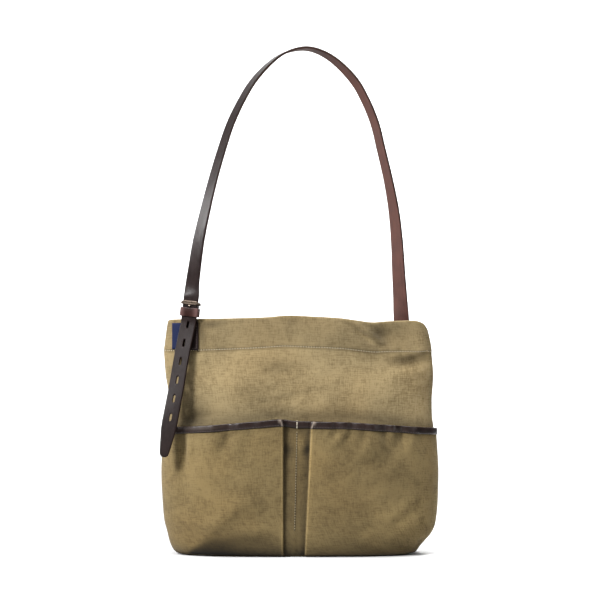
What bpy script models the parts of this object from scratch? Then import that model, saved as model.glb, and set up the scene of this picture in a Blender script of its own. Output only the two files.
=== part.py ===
"""Canvas shoulder bag with two front pockets and one slotted leather strap.

Units are metres. X runs to the right, Y away from the front, Z up.
The origin is the centre of the flat base.
"""

import math

import bmesh
import bpy
import numpy as np

# Sizes of the sack.
HALF_WIDTH = 0.182
HALF_DEPTH = 0.043
MOUTH_HEIGHT = 0.1735
BODY_HEIGHT = 0.314
CANVAS = 0.0013
HEM_THICKNESS = 0.0026
HEM_UP = 1.695
FLOOR_INSET = 0.003
SIDE_STEPS = 28

# Fits between neighbouring pieces.
GAP = 0.0003
EASE = 0.00035

# Pocket cloth, its pleat and the leather over its edge.
PANEL_CLOTH = 0.0012
LEFT_FOLD = -0.1125
RIGHT_FOLD_TOP = 0.0912
RIGHT_FOLD_LOW = 0.0473
PLEAT_CENTRE = -0.0071
PLEAT_RETURN = 0.014
PLEAT_CLEAR_COLUMN = 12
ARC_STEPS = 4
BINDING_LEATHER = 0.0009
BINDING_DROP = 0.008
CROWN_SHARE = 0.55

# Strap.
STRAP_WIDTH = 0.0210
STRAP_THICKNESS = 0.0032
STRAP_BEVEL = 0.0007
STRAP_SPAN = 1.5335 * HALF_WIDTH
STRAP_RISE = 0.3589
STRAP_FOOT_X = -0.7797 * HALF_WIDTH
FOOT_BELOW_RIM = 0.002
SLOT_WIDTH = 0.0026
SLOT_LENGTH = 0.010
SLOT_PITCH = 0.025
SLOT_COUNT = 7
STATION_STEP = 0.019

# Buckle, tab and loop.
BUCKLE_X = -0.7890 * HALF_WIDTH
BUCKLE_LEAN = (0.11, 0.03, 1.0)
BUCKLE_TWIST = 18.0
BUCKLE_ABOVE_RIM = 0.018
CHAPE_X = -0.7736 * HALF_WIDTH
CHAPE_WIDTH = 0.0185
CHAPE_THICKNESS = 0.0018
CHAPE_BACK_PLY = 0.0105
CHAPE_LIFT = 0.0014
CHAPE_SLOT_WIDTH = 0.0034
CHAPE_FOOT_UP = 0.015
CHAPE_LOW_RISE = 0.0009
CHAPE_BEND_RISE = 0.0032
CHAPE_TOP_RISE = 0.0001
CHAPE_RETURN_RISE = 0.0016
BAR_RADIUS = 0.0013
PRONG_WIDTH = 0.0018
PRONG_THICKNESS = 0.0010
KEEPER_LEATHER = 0.0016
KEEPER_TOP = -0.0026
KEEPER_HEIGHT = 0.0117
LABEL_THICKNESS = 0.0010
LABEL_CLEAR = 0.00145
LABEL_EDGE = CHAPE_X - CHAPE_WIDTH / 2.0 - LABEL_CLEAR

# One row per level: up is 0 at the base, 1 at the pocket mouth, 2 at the rim;
# left and right are shares of HALF_WIDTH, front and back of HALF_DEPTH;
# power squares the plan of that level.
BODY_ROWS = (
    # up, left, right, front, back, power
    (0.000, 0.850, 0.806, 0.70, 0.70, 4.0),
    (0.012, 0.886, 0.840, 0.77, 0.76, 4.0),
    (0.064, 0.921, 0.880, 0.88, 0.86, 4.0),
    (0.110, 0.938, 0.917, 0.93, 0.91, 4.0),
    (0.156, 0.951, 0.955, 0.96, 0.93, 4.0),
    (0.249, 0.970, 0.992, 0.98, 0.95, 3.9),
    (0.434, 0.984, 1.008, 1.00, 0.96, 3.8),
    (0.636, 0.991, 1.010, 1.00, 0.94, 3.5),
    (0.838, 0.981, 1.000, 0.96, 0.90, 3.2),
    (0.942, 0.973, 0.991, 0.93, 0.87, 3.0),
    (1.000, 0.967, 0.988, 0.91, 0.85, 2.9),
    (1.120, 0.956, 0.978, 0.87, 0.81, 2.75),
    (1.270, 0.950, 0.977, 0.82, 0.78, 2.6),
    (1.500, 0.972, 0.986, 0.76, 0.73, 2.4),
    (1.695, 0.979, 0.978, 0.71, 0.69, 2.3),
    (1.800, 0.971, 0.969, 0.68, 0.66, 2.25),
    (1.900, 0.961, 0.957, 0.65, 0.63, 2.2),
    (2.000, 0.949, 0.943, 0.62, 0.60, 2.2),
)

# Height of the rim: across is a share of HALF_WIDTH, height of BODY_HEIGHT.
RIM_LINE = (
    # across, height
    (-0.945, 0.980),
    (-0.930, 0.987),
    (-0.900, 0.990),
    (-0.500, 0.995),
    (-0.260, 0.999),
    (-0.060, 1.007),
    (0.090, 1.003),
    (0.230, 0.999),
    (0.320, 0.995),
    (0.430, 0.986),
    (0.550, 0.978),
    (0.640, 0.982),
    (0.840, 0.986),
    (0.880, 0.982),
    (0.912, 0.974),
    (0.943, 0.950),
)

# Height of the pocket mouth: across is a share of HALF_WIDTH, height of MOUTH_HEIGHT.
MOUTH_LINE = (
    # across, height
    (-1.00, 0.967),
    (-0.86, 0.973),
    (-0.60, 0.993),
    (-0.30, 1.014),
    (0.00, 1.019),
    (0.30, 1.017),
    (0.60, 0.996),
    (0.86, 0.972),
    (1.00, 0.957),
)

# Folds and dents of the sack. side is -1 front, 1 back; across and half_width are shares of
# HALF_WIDTH, up is the level, half_height in levels, turn in degrees, push outward in metres.
SACK_FOLDS = (
    # side, across, up, half_width, half_height, turn, push
    (-1, 0.66, 1.86, 0.14, 0.10, 0.0, -0.0022),
    (-1, 0.32, 1.86, 0.12, 0.12, 0.0, 0.0018),
    (-1, 0.62, 1.62, 0.16, 0.12, 12.0, -0.0026),
    (-1, -0.40, 1.35, 0.24, 0.22, 0.0, 0.0028),
    (-1, 0.45, 1.35, 0.26, 0.20, 10.0, 0.0020),
    (-1, -0.80, 1.18, 0.14, 0.14, 0.0, -0.0020),
    (-1, -0.62, 0.14, 0.30, 0.07, -8.0, -0.0030),
    (-1, -0.50, 0.36, 0.26, 0.12, 35.0, 0.0024),
    (-1, 0.62, 0.30, 0.24, 0.10, -25.0, 0.0022),
    (1, 0.00, 1.20, 0.40, 0.30, 0.0, -0.0030),
    (1, -0.55, 0.60, 0.22, 0.22, 30.0, 0.0025),
    (1, 0.55, 0.45, 0.24, 0.20, -30.0, 0.0022),
    (1, 0.10, 0.20, 0.50, 0.08, 0.0, -0.0020),
    (1, -0.30, 1.60, 0.18, 0.12, 8.0, -0.0016),
)

# Pocket cloth per level, in metres: seam is its stand-off at the side seams and the centre,
# pitch the step from one folded layer to the next, belly the swelling of each pocket.
PANEL_ROWS = (
    # up, seam, pitch, belly
    (0.012, 0.00095, 0.0017, 0.0003),
    (0.064, 0.00095, 0.0018, 0.0008),
    (0.110, 0.00100, 0.0018, 0.0016),
    (0.156, 0.00100, 0.0019, 0.0026),
    (0.249, 0.00105, 0.0021, 0.0042),
    (0.434, 0.00120, 0.0025, 0.0058),
    (0.636, 0.00150, 0.0030, 0.0064),
    (0.838, 0.00210, 0.0037, 0.0066),
    (0.942, 0.00260, 0.0041, 0.0066),
    (1.000, 0.00280, 0.0041, 0.0066),
)

# Puckers of the pocket cloth below its edge: across is a share of HALF_WIDTH.
PANEL_FOLDS = (
    # across, up, half_width, half_height, turn, push
    (-0.80, 0.78, 0.060, 0.16, 5.0, -0.0034),
    (-0.50, 0.84, 0.055, 0.12, 0.0, -0.0024),
    (-0.64, 0.86, 0.060, 0.12, 0.0, 0.0018),
    (0.34, 0.86, 0.060, 0.12, 0.0, -0.0024),
    (0.50, 0.80, 0.060, 0.16, 18.0, 0.0024),
    (0.66, 0.84, 0.055, 0.12, 0.0, -0.0024),
    (0.84, 0.86, 0.060, 0.12, 0.0, 0.0018),
)

# Strap below the buckle: across is a share of HALF_WIDTH, front of HALF_DEPTH,
# drop of the length from the rim to the tip; twist in degrees.
TAIL_DROP = 0.1765
TAIL_ROWS = (
    # across, front, drop, twist
    (-0.960, -1.20, 1.000, 21.0),
    (-0.921, -0.98, 0.755, 22.0),
    (-0.882, -0.79, 0.510, 22.0),
    (-0.836, -0.60, 0.225, 20.0),
)

# Strap above the buckle: across is a share of STRAP_SPAN, up of STRAP_RISE,
# back runs from 0 at the front foot to 1 at the rear foot; twist in degrees.
ARCH_ROWS = (
    # across, up, back, twist
    (0.005, 0.121, 0.04, 30.0),
    (0.014, 0.176, 0.06, 37.0),
    (0.035, 0.287, 0.11, 45.0),
    (0.066, 0.398, 0.16, 52.0),
    (0.101, 0.509, 0.21, 58.0),
    (0.142, 0.620, 0.26, 63.0),
    (0.192, 0.731, 0.32, 69.0),
    (0.267, 0.842, 0.38, 75.0),
    (0.320, 0.898, 0.41, 79.0),
    (0.396, 0.954, 0.45, 84.0),
    (0.537, 1.000, 0.50, 93.0),
    (0.675, 0.954, 0.55, 106.0),
    (0.750, 0.899, 0.59, 112.0),
    (0.802, 0.844, 0.63, 113.5),
    (0.867, 0.733, 0.69, 115.0),
    (0.904, 0.622, 0.75, 116.0),
    (0.938, 0.511, 0.80, 118.0),
    (0.965, 0.400, 0.86, 125.0),
    (0.980, 0.288, 0.91, 132.0),
    (0.988, 0.177, 0.95, 139.0),
    (0.996, 0.075, 0.99, 148.0),
)
FRONT_FOOT_Y = -0.0185
REAR_FOOT_Y = 0.0185

# Rear end of the strap on the hem: across is a share of HALF_WIDTH, up a level.
REAR_ROWS = (
    # across, up
    (0.755, 1.985),
    (0.760, 1.900),
    (0.765, 1.800),
    (0.768, 1.740),
)

# Rounded tip of the strap: along in metres from the tip, width a share of STRAP_WIDTH.
TIP_ROWS = (
    # along, width
    (0.0000, 0.34),
    (0.0012, 0.45),
    (0.0035, 0.54),
    (0.0080, 0.62),
    (0.0170, 0.73),
    (0.0280, 0.86),
    (0.0390, 0.97),
)

# Plan of the buckle's frame from the middle of the front bar to the middle of the hinge bar:
# side and depth in metres, rise above the slot, height and thick of the metal there.
FRAME_ROWS = (
    # side, depth, rise, height, thick
    (0.0000, 0.0029, 0.0040, 0.0050, 0.0016),
    (0.0088, 0.0029, 0.0040, 0.0050, 0.0016),
    (0.0104, 0.0025, 0.0038, 0.0040, 0.0014),
    (0.0130, 0.0004, 0.0034, 0.0022, 0.0015),
    (0.0127, -0.0030, 0.0026, 0.0022, 0.0018),
    (0.0116, -0.0052, 0.0022, 0.0024, 0.0022),
    (0.0104, -0.00535, 0.0021, 0.0026, 0.0026),
)


def clear_scene():
    for obj in list(bpy.data.objects):
        bpy.data.objects.remove(obj, do_unlink=True)


def make_material(name, colour, roughness, metallic=0.0):
    material = bpy.data.materials.new(name)
    material.use_nodes = True
    shader = material.node_tree.nodes["Principled BSDF"]
    shader.inputs["Base Color"].default_value = (colour[0], colour[1], colour[2], 1.0)
    shader.inputs["Roughness"].default_value = roughness
    shader.inputs["Metallic"].default_value = metallic
    return material


def add_body(name, points, faces, material, smooth=True):
    """Adds one closed body made of the given points and faces, its faces turned outward."""
    mesh = bpy.data.meshes.new(name)
    mesh.from_pydata([tuple(float(c) for c in p) for p in points], [], faces)
    work = bmesh.new()
    work.from_mesh(mesh)
    bmesh.ops.recalc_face_normals(work, faces=work.faces)
    if work.calc_volume(signed=True) < 0.0:
        bmesh.ops.reverse_faces(work, faces=work.faces)
    work.to_mesh(mesh)
    work.free()
    for polygon in mesh.polygons:
        polygon.use_smooth = smooth
    obj = bpy.data.objects.new(name, mesh)
    obj.data.materials.append(material)
    bpy.context.scene.collection.objects.link(obj)
    return obj


def unit(vector):
    return vector / np.linalg.norm(vector)


def lookup(table, value, column=1):
    """Reads one column of a table whose first column rises."""
    keys = [row[0] for row in table]
    return float(np.interp(value, keys, [row[column] for row in table]))


def rim_height(x):
    return BODY_HEIGHT * lookup(RIM_LINE, x / HALF_WIDTH)


def mouth_height(x):
    return MOUTH_HEIGHT * lookup(MOUTH_LINE, x / HALF_WIDTH)


def level_height(up, x):
    if up <= 1.0:
        return up * mouth_height(x)
    low = mouth_height(x)
    return low + (up - 1.0) * (rim_height(x) - low)


def bump(across, up, row):
    """Share from 0 to 1 of one fold at a place on the cloth."""
    centre_across, centre_up, half_width, half_height, turn = row
    angle = math.radians(turn)
    da = across - centre_across
    du = up - centre_up
    along = (da * math.cos(angle) + du * math.sin(angle)) / half_width
    over = (du * math.cos(angle) - da * math.sin(angle)) / half_height
    reach = along * along + over * over
    if reach >= 4.0:
        return 0.0
    return (1.0 - reach / 4.0) ** 3


def fold_push(side, across, up):
    push = 0.0
    for row in SACK_FOLDS:
        if row[0] == side:
            push += row[6] * bump(across, up, row[1:6])
    return push


def level_row(up):
    return [lookup(BODY_ROWS, up, column) for column in range(1, 6)]


def plan_point(up, turn):
    """Plan point of the sack before folds; turn runs from the left seam over the front."""
    left, right, front, back, power = level_row(up)
    middle = HALF_WIDTH * (right - left) / 2.0
    half = HALF_WIDTH * (right + left) / 2.0
    u = -math.cos(turn)
    swell = math.sqrt(max(0.0, 1.0 - abs(u) ** power))
    depth = -front if turn <= math.pi else back
    return np.array((middle + half * u, HALF_DEPTH * depth * swell))


def plan_normal(up, turn):
    step = 0.01
    ahead = plan_point(up, min(turn + step, 2.0 * math.pi))
    behind = plan_point(up, max(turn - step, 0.0))
    if turn < step:
        return np.array((-1.0, 0.0))
    if abs(turn - math.pi) < step:
        return np.array((1.0, 0.0))
    tangent = unit(ahead - behind)
    return np.array((tangent[1], -tangent[0]))


def skin_point(up, turn, inset=0.0):
    """Point of the sack's outer face, moved inward by inset."""
    plan = plan_point(up, turn)
    normal = plan_normal(up, turn)
    side = -1 if turn <= math.pi else 1
    push = fold_push(side, plan[0] / HALF_WIDTH, up)
    plan_out = plan + normal * (push - inset)
    return np.array((plan_out[0], plan_out[1], level_height(up, plan[0])))


def turn_at(up, x):
    """Turn on the front whose plan point lies at x."""
    left, right = level_row(up)[:2]
    middle = HALF_WIDTH * (right - left) / 2.0
    half = HALF_WIDTH * (right + left) / 2.0
    return math.acos(max(-1.0, min(1.0, -(x - middle) / half)))


def facet_point(up, turn):
    """Point on the flat faces between the sack's levels and columns."""
    ups = [row[0] for row in BODY_ROWS]
    low = max(i for i, value in enumerate(ups) if value <= up)
    low = min(low, len(ups) - 2)
    share_up = (up - ups[low]) / (ups[low + 1] - ups[low])
    step = math.pi / SIDE_STEPS
    column = int(turn / step)
    share_turn = turn / step - column
    corners = []
    for level in (ups[low], ups[low + 1]):
        first = skin_point(level, column * step)
        second = skin_point(level, min((column + 1) * step, 2.0 * math.pi))
        corners.append(first + (second - first) * share_turn)
    return corners[0] + (corners[1] - corners[0]) * share_up


def tube_faces(rings, count, closed=False):
    """Quads between rings of count points each."""
    faces = []
    last = rings if closed else rings - 1
    for i in range(last):
        a = i * count
        b = ((i + 1) % rings) * count
        for j in range(count):
            k = (j + 1) % count
            faces.append((a + j, a + k, b + k, b + j))
    return faces


def build_sack(material):
    count = 2 * SIDE_STEPS
    turns = [math.pi * k / SIDE_STEPS for k in range(count)]
    points = []
    for row in BODY_ROWS:
        points += [skin_point(row[0], turn) for turn in turns]
    inner = []
    for row in reversed(BODY_ROWS[1:]):
        up = row[0]
        if up > HEM_UP + 1e-6:
            inner.append((up, HEM_THICKNESS))
        elif up > HEM_UP - 1e-6:
            inner.append((up, HEM_THICKNESS))
            inner.append((up, CANVAS))
        elif up == BODY_ROWS[1][0]:
            inner.append((up, FLOOR_INSET))
        else:
            inner.append((up, CANVAS))
    for up, inset in inner:
        points += [skin_point(up, turn, inset) for turn in turns]
    rings = len(BODY_ROWS) + len(inner)
    faces = tube_faces(rings, count)
    faces.append(tuple(range(count)))
    last = (rings - 1) * count
    floor = sum(p[2] for p in points[last:]) / count
    for p in points[last:]:
        p[2] = floor
    faces.append(tuple(range(last, last + count)))
    for p in points[:count]:
        p[2] = 0.0
    return add_body("bag_body", points, faces, material)


def panel_push(across, up):
    """Push of the puckers; it stays the same over the height of the leather edging."""
    level = min(up, PANEL_ROWS[-2][0])
    return sum(row[5] * bump(across, level, row[:5]) for row in PANEL_FOLDS)


def front_stand_off(up, x, left_fold, right_fold):
    """Stand-off of the pocket's outer layer from the sack."""
    seam = lookup(PANEL_ROWS, up, 1)
    outer = seam + 2.0 * lookup(PANEL_ROWS, up, 2)
    belly = lookup(PANEL_ROWS, up, 3)
    left, right = level_row(up)[:2]
    if x < 0.0:
        share = (x + HALF_WIDTH * left) / (left_fold + HALF_WIDTH * left)
    else:
        share = (HALF_WIDTH * right - x) / (HALF_WIDTH * right - right_fold)
    share = max(0.0, min(1.0, share))
    ease = share * share * (3.0 - 2.0 * share)
    swell = math.sin(math.pi * share ** 0.8)
    push = panel_push(x / HALF_WIDTH, up) * min(1.0, 4.0 * share * (1.0 - share))
    return seam + (outer - seam) * ease + belly * swell + push


def panel_path(up):
    """Centre line of the pocket cloth on one level, from the left seam to the right seam."""
    seam = lookup(PANEL_ROWS, up, 1)
    pitch = lookup(PANEL_ROWS, up, 2)
    radius = pitch / 2.0
    layers = (seam, seam + pitch, seam + 2.0 * pitch)
    left_fold = LEFT_FOLD * HALF_WIDTH
    right_fold = HALF_WIDTH * (RIGHT_FOLD_LOW + (RIGHT_FOLD_TOP - RIGHT_FOLD_LOW) * up)
    step = math.pi / SIDE_STEPS

    def placed(turn, stand_off):
        base = skin_point(up, turn)
        normal = plan_normal(up, turn)
        return np.array((base[0] + normal[0] * stand_off, base[1] + normal[1] * stand_off, base[2]))

    def at(x, stand_off):
        return placed(turn_at(up, x), stand_off)

    def half(fold, sign):
        """Points from the outer layer beside the fold to the inner layer."""
        spots = []
        for k in range(ARC_STEPS + 1):
            angle = math.pi / 2.0 - math.pi * k / ARC_STEPS
            spots.append((fold - sign * radius * (1.0 - math.cos(angle)),
                          layers[1] + radius + radius * math.sin(angle)))
        turn_back = fold - sign * PLEAT_RETURN
        for k in range(ARC_STEPS + 1):
            angle = math.pi / 2.0 - math.pi * k / ARC_STEPS
            spots.append((turn_back + sign * radius * (1.0 - math.cos(angle)),
                          layers[0] + radius + radius * math.sin(angle)))
        return [at(x, stand_off) for x, stand_off in spots]

    path = []
    for j in range(PLEAT_CLEAR_COLUMN + 1):
        turn = j * step
        x = plan_point(up, turn)[0]
        path.append(placed(turn, front_stand_off(up, x, left_fold, right_fold)))
    path += half(left_fold, 1.0)
    path.append(at(PLEAT_CENTRE * HALF_WIDTH, layers[0]))
    path += list(reversed(half(right_fold, -1.0)))
    for j in range(SIDE_STEPS - PLEAT_CLEAR_COLUMN, SIDE_STEPS + 1):
        turn = j * step
        x = plan_point(up, turn)[0]
        path.append(placed(turn, front_stand_off(up, x, left_fold, right_fold)))
    return path


def path_normals(path):
    """Plan normals of a path, lengthened at bends so that an offset keeps its distance."""
    normals = []
    last = len(path) - 1
    for i in range(len(path)):
        before = unit(path[i][:2] - path[i - 1][:2]) if i > 0 else None
        after = unit(path[i + 1][:2] - path[i][:2]) if i < last else None
        first = before if before is not None else after
        second = after if after is not None else before
        middle = unit(first + second)
        cosine = float(np.dot(middle, first))
        normals.append(np.array((middle[1], -middle[0], 0.0)) / max(cosine, 0.5))
    return normals


def build_panel(material):
    half = PANEL_CLOTH / 2.0
    rings = []
    for row in PANEL_ROWS:
        path = panel_path(row[0])
        normals = path_normals(path)
        outer = [p + n * half for p, n in zip(path, normals)]
        inner = [p - n * half for p, n in zip(path, normals)]
        rings.append(outer + list(reversed(inner)))
    count = len(rings[0])
    points = [p for ring in rings for p in ring]
    faces = tube_faces(len(rings), count)
    columns = count // 2
    top = (len(rings) - 1) * count
    for j in range(columns - 1):
        k = count - 1 - j
        faces.append((j, j + 1, k - 1, k))
        faces.append((top + j, top + j + 1, top + k - 1, top + k))
    return add_body("pocket_panel", points, faces, material)


def build_binding(material):
    """Leather folded over the pocket's edge and following its pleat."""
    top = panel_path(PANEL_ROWS[-1][0])
    below = panel_path(PANEL_ROWS[-2][0])
    top_normals = path_normals(top)
    inside = PANEL_CLOTH / 2.0 + GAP
    outside = inside + BINDING_LEATHER
    points = []
    for i, high in enumerate(top):
        drop = high[2] - below[i][2]
        low = high + (below[i] - high) * (BINDING_DROP / drop)
        normal = top_normals[i]
        lift = np.array((0.0, 0.0, GAP))
        crown = np.array((0.0, 0.0, GAP + BINDING_LEATHER))
        points += [
            low + normal * outside,
            high + normal * outside,
            high + normal * outside * CROWN_SHARE + crown,
            high - normal * outside * CROWN_SHARE + crown,
            high - normal * outside,
            low - normal * outside,
            low - normal * inside,
            high - normal * inside + lift,
            high + normal * inside + lift,
            low + normal * inside,
        ]
    count = 10
    faces = tube_faces(len(top), count)
    for base in (0, (len(top) - 1) * count):
        for ids in ((0, 1, 8, 9), (1, 2, 8), (2, 3, 7, 8), (3, 4, 7), (4, 5, 6, 7)):
            faces.append(tuple(base + i for i in ids))
    return add_body("pocket_binding", points, faces, material)


def smooth_path(knots, samples=14):
    """Dense Catmull-Rom path through the knots; each knot is a row of numbers."""
    knots = np.array(knots)
    dense = []
    for i in range(len(knots) - 1):
        p0 = knots[max(i - 1, 0)]
        p1 = knots[i]
        p2 = knots[i + 1]
        p3 = knots[min(i + 2, len(knots) - 1)]
        chord = max(np.linalg.norm(p2[:3] - p1[:3]), 1e-9)
        before = max(np.linalg.norm(p1[:3] - p0[:3]), 1e-9)
        after = max(np.linalg.norm(p3[:3] - p2[:3]), 1e-9)
        start = (p2 - p1) / chord if i == 0 else (p2 - p0) / (chord + before)
        end = (p2 - p1) / chord if i == len(knots) - 2 else (p3 - p1) / (chord + after)
        for k in range(samples):
            t = k / samples
            h00 = 2 * t ** 3 - 3 * t ** 2 + 1
            h10 = t ** 3 - 2 * t ** 2 + t
            h01 = -2 * t ** 3 + 3 * t ** 2
            h11 = t ** 3 - t ** 2
            dense.append(h00 * p1 + h10 * chord * start + h01 * p2 + h11 * chord * end)
    dense.append(knots[-1])
    return np.array(dense)


def hem_stack():
    """Distance from the hem's face to the strap's centre line where the tab lies between."""
    return GAP + EASE + CHAPE_THICKNESS + EASE + CHAPE_LIFT + STRAP_THICKNESS / 2.0


def buckle_origin():
    """Strap centre at the prong, the strap's run there, and its width and face directions."""
    lean = unit(np.array(BUCKLE_LEAN))
    rim_up = BODY_ROWS[-1][0]
    turn = turn_at(rim_up, BUCKLE_X)
    base = facet_point(rim_up, turn)
    normal = plan_normal(rim_up, turn)
    foot = base + np.array((normal[0], normal[1], 0.0)) * hem_stack()
    origin = foot + lean * BUCKLE_ABOVE_RIM
    width, face = ribbon_axes(lean, BUCKLE_TWIST)
    return origin, lean, width, face


def ribbon_axes(run, twist):
    """Width and face directions of a ribbon that runs along run, turned about it by twist."""
    inward = unit(np.cross(np.array((0.0, 1.0, 0.0)), run))
    forward = np.cross(inward, run)
    angle = math.radians(twist)
    width = inward * math.cos(angle) + forward * math.sin(angle)
    face = forward * math.cos(angle) - inward * math.sin(angle)
    return width, face


def strap_knots():
    """Rows of x, y, z and twist from the strap's tip to its rear end."""
    origin, lean, _, _ = buckle_origin()
    rim = rim_height(BUCKLE_X)
    knots = []
    for across, front, drop, twist in TAIL_ROWS:
        knots.append((across * HALF_WIDTH, front * HALF_DEPTH, rim - drop * TAIL_DROP, twist))
    for along in (-0.023, -0.015, 0.0, 0.008, 0.014):
        spot = origin + lean * along
        knots.append((spot[0], spot[1], spot[2], BUCKLE_TWIST))
    foot = BODY_HEIGHT - FOOT_BELOW_RIM
    for across, up, back, twist in ARCH_ROWS:
        y = FRONT_FOOT_Y + (REAR_FOOT_Y - FRONT_FOOT_Y) * back
        knots.append((STRAP_FOOT_X + across * STRAP_SPAN, y, foot + up * STRAP_RISE, twist))
    stand_off = GAP + EASE + STRAP_THICKNESS / 2.0
    for across, up in REAR_ROWS:
        turn = 2.0 * math.pi - turn_at(up, across * HALF_WIDTH)
        base = facet_point(up, turn)
        normal = plan_normal(up, turn)
        spot = base + np.array((normal[0], normal[1], 0.0)) * stand_off
        twist = 180.0 - math.degrees(math.atan2(normal[0], normal[1]))
        knots.append((spot[0], spot[1], spot[2], twist))
    return knots


def resample(dense, along_list):
    lengths = np.concatenate(([0.0], np.cumsum(np.linalg.norm(np.diff(dense[:, :3], axis=0), axis=1))))
    total = lengths[-1]
    rows = []
    for along in along_list:
        value = min(max(along, 0.0), total)
        rows.append(np.array([np.interp(value, lengths, dense[:, c]) for c in range(dense.shape[1])]))
    return rows, total


def ribbon(name, stations, thickness, slot_width, slots, material, bevel):
    """Closed ribbon with slots; a station is centre, width direction, face direction, half width.

    slots holds the index of the first station of each slot, which ends at the next station.
    """
    points = []
    half = thickness / 2.0
    for centre, width, face, half_width in stations:
        edge = min(bevel, half_width * 0.4)
        slot = min(slot_width / 2.0, half_width * 0.3)
        for side, level in (
            (-half_width, half - edge * 0.6), (-half_width + edge, half), (-slot, half), (slot, half),
            (half_width - edge, half), (half_width, half - edge * 0.6),
            (half_width, -half + edge * 0.6), (half_width - edge, -half), (slot, -half), (-slot, -half),
            (-half_width + edge, -half), (-half_width, -half + edge * 0.6),
        ):
            points.append(centre + width * side + face * level)
    count = 12
    faces = []
    for i in range(len(stations) - 1):
        a = i * count
        b = a + count
        for j in range(count):
            k = (j + 1) % count
            if i in slots and j in (2, 8):
                continue
            faces.append((a + j, a + k, b + k, b + j))
        if i in slots:
            faces.append((a + 2, a + 9, b + 9, b + 2))
            faces.append((a + 3, b + 3, b + 8, a + 8))
            faces.append((a + 2, a + 3, a + 8, a + 9))
            faces.append((b + 2, b + 9, b + 8, b + 3))
    for base, flip in ((0, False), ((len(stations) - 1) * count, True)):
        for ids in ((0, 1, 10, 11), (1, 2, 9, 10), (2, 3, 8, 9), (3, 4, 7, 8), (4, 5, 6, 7)):
            ring = tuple(base + i for i in ids)
            faces.append(tuple(reversed(ring)) if flip else ring)
    return add_body(name, points, faces, material)


def build_strap(material):
    dense = smooth_path(strap_knots())
    origin = buckle_origin()[0]
    _, total = resample(dense, [0.0])
    lengths = np.concatenate(([0.0], np.cumsum(np.linalg.norm(np.diff(dense[:, :3], axis=0), axis=1))))
    at_prong = float(lengths[int(np.argmin(np.linalg.norm(dense[:, :3] - origin, axis=1)))])
    alongs = []
    slot_starts = []
    for index in range(SLOT_COUNT):
        centre = at_prong - index * SLOT_PITCH
        slot_starts.append(centre - SLOT_LENGTH / 2.0)
        alongs += [centre - SLOT_LENGTH / 2.0, centre + SLOT_LENGTH / 2.0, centre + SLOT_LENGTH]
    tip_room = at_prong - (SLOT_COUNT - 1) * SLOT_PITCH - SLOT_LENGTH
    alongs += [row[0] for row in TIP_ROWS if row[0] < tip_room]
    steps = int(round((total - at_prong - SLOT_LENGTH) / STATION_STEP))
    alongs += [at_prong + SLOT_LENGTH + (total - at_prong - SLOT_LENGTH) * k / steps for k in range(steps + 1)]
    alongs = sorted(set(round(value, 7) for value in alongs))
    merged = [alongs[0]]
    for value in alongs[1:]:
        if value - merged[-1] > 1e-4:
            merged.append(value)
    rows, _ = resample(dense, merged)
    ahead, _ = resample(dense, [value + 0.002 for value in merged])
    behind, _ = resample(dense, [value - 0.002 for value in merged])
    stations = []
    for value, row, front, rear in zip(merged, rows, ahead, behind):
        run = unit(front[:3] - rear[:3])
        width, face = ribbon_axes(run, row[3])
        half_width = STRAP_WIDTH / 2.0 * (lookup(TIP_ROWS, value) if value < TIP_ROWS[-1][0] else 1.0)
        stations.append((row[:3], width, face, half_width))
    slots = set()
    for start in slot_starts:
        slots.add(int(np.argmin([abs(value - start) for value in merged])))
    return ribbon("strap", stations, STRAP_THICKNESS, SLOT_WIDTH, slots, material, STRAP_BEVEL)


def local_point(frame, side, depth, rise):
    """Point beside the strap at the prong: side across it, depth out of its face, rise along it."""
    origin, run, width, face = frame
    return origin + width * side + face * depth + run * rise


def front_ply_depth():
    return -(STRAP_THICKNESS / 2.0 + EASE + CHAPE_THICKNESS / 2.0)


def bar_centre():
    """Depth and rise of the hinge bar's axis."""
    depth = front_ply_depth() - CHAPE_THICKNESS / 2.0 - GAP - BAR_RADIUS
    rise = BAR_RADIUS + GAP + PRONG_THICKNESS / 2.0
    return depth, rise


def build_chape(material):
    """Leather tab from the hem, up behind the strap, over the hinge bar and down again."""
    frame = buckle_origin()
    _, run, width, face = frame
    stations = []
    half = CHAPE_WIDTH / 2.0
    stand_off = GAP + EASE + CHAPE_THICKNESS / 2.0
    for up in (HEM_UP + CHAPE_FOOT_UP, 1.80, 1.90, 1.96):
        turn = turn_at(up, CHAPE_X)
        base = facet_point(up, turn)
        normal = plan_normal(up, turn)
        out = np.array((normal[0], normal[1], 0.0))
        across = np.array((-normal[1], normal[0], 0.0))
        stations.append((base + out * stand_off, across, out, half))
    depth = front_ply_depth()
    bar_depth, bar_rise = bar_centre()
    radius = BAR_RADIUS + GAP + CHAPE_THICKNESS / 2.0
    slot_first = len(stations) + 1
    for rise in (KEEPER_TOP - KEEPER_HEIGHT - CHAPE_LOW_RISE, -CHAPE_BEND_RISE, -CHAPE_TOP_RISE):
        stations.append((local_point(frame, 0.0, depth, rise), width, face, half))
    for k in range(9):
        angle = math.pi * k / 8
        spot = local_point(frame, 0.0, bar_depth + radius * math.cos(angle), bar_rise + radius * math.sin(angle))
        out = face * math.cos(angle) + run * math.sin(angle)
        stations.append((spot, width, out, half))
    slot_last = len(stations)
    for rise in (-CHAPE_RETURN_RISE, -CHAPE_BACK_PLY):
        spot = local_point(frame, 0.0, bar_depth - radius, rise)
        stations.append((spot, width, -face, half))
    slots = set(range(slot_first, slot_last))
    return slotted_tab(stations, slots, material)


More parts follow.
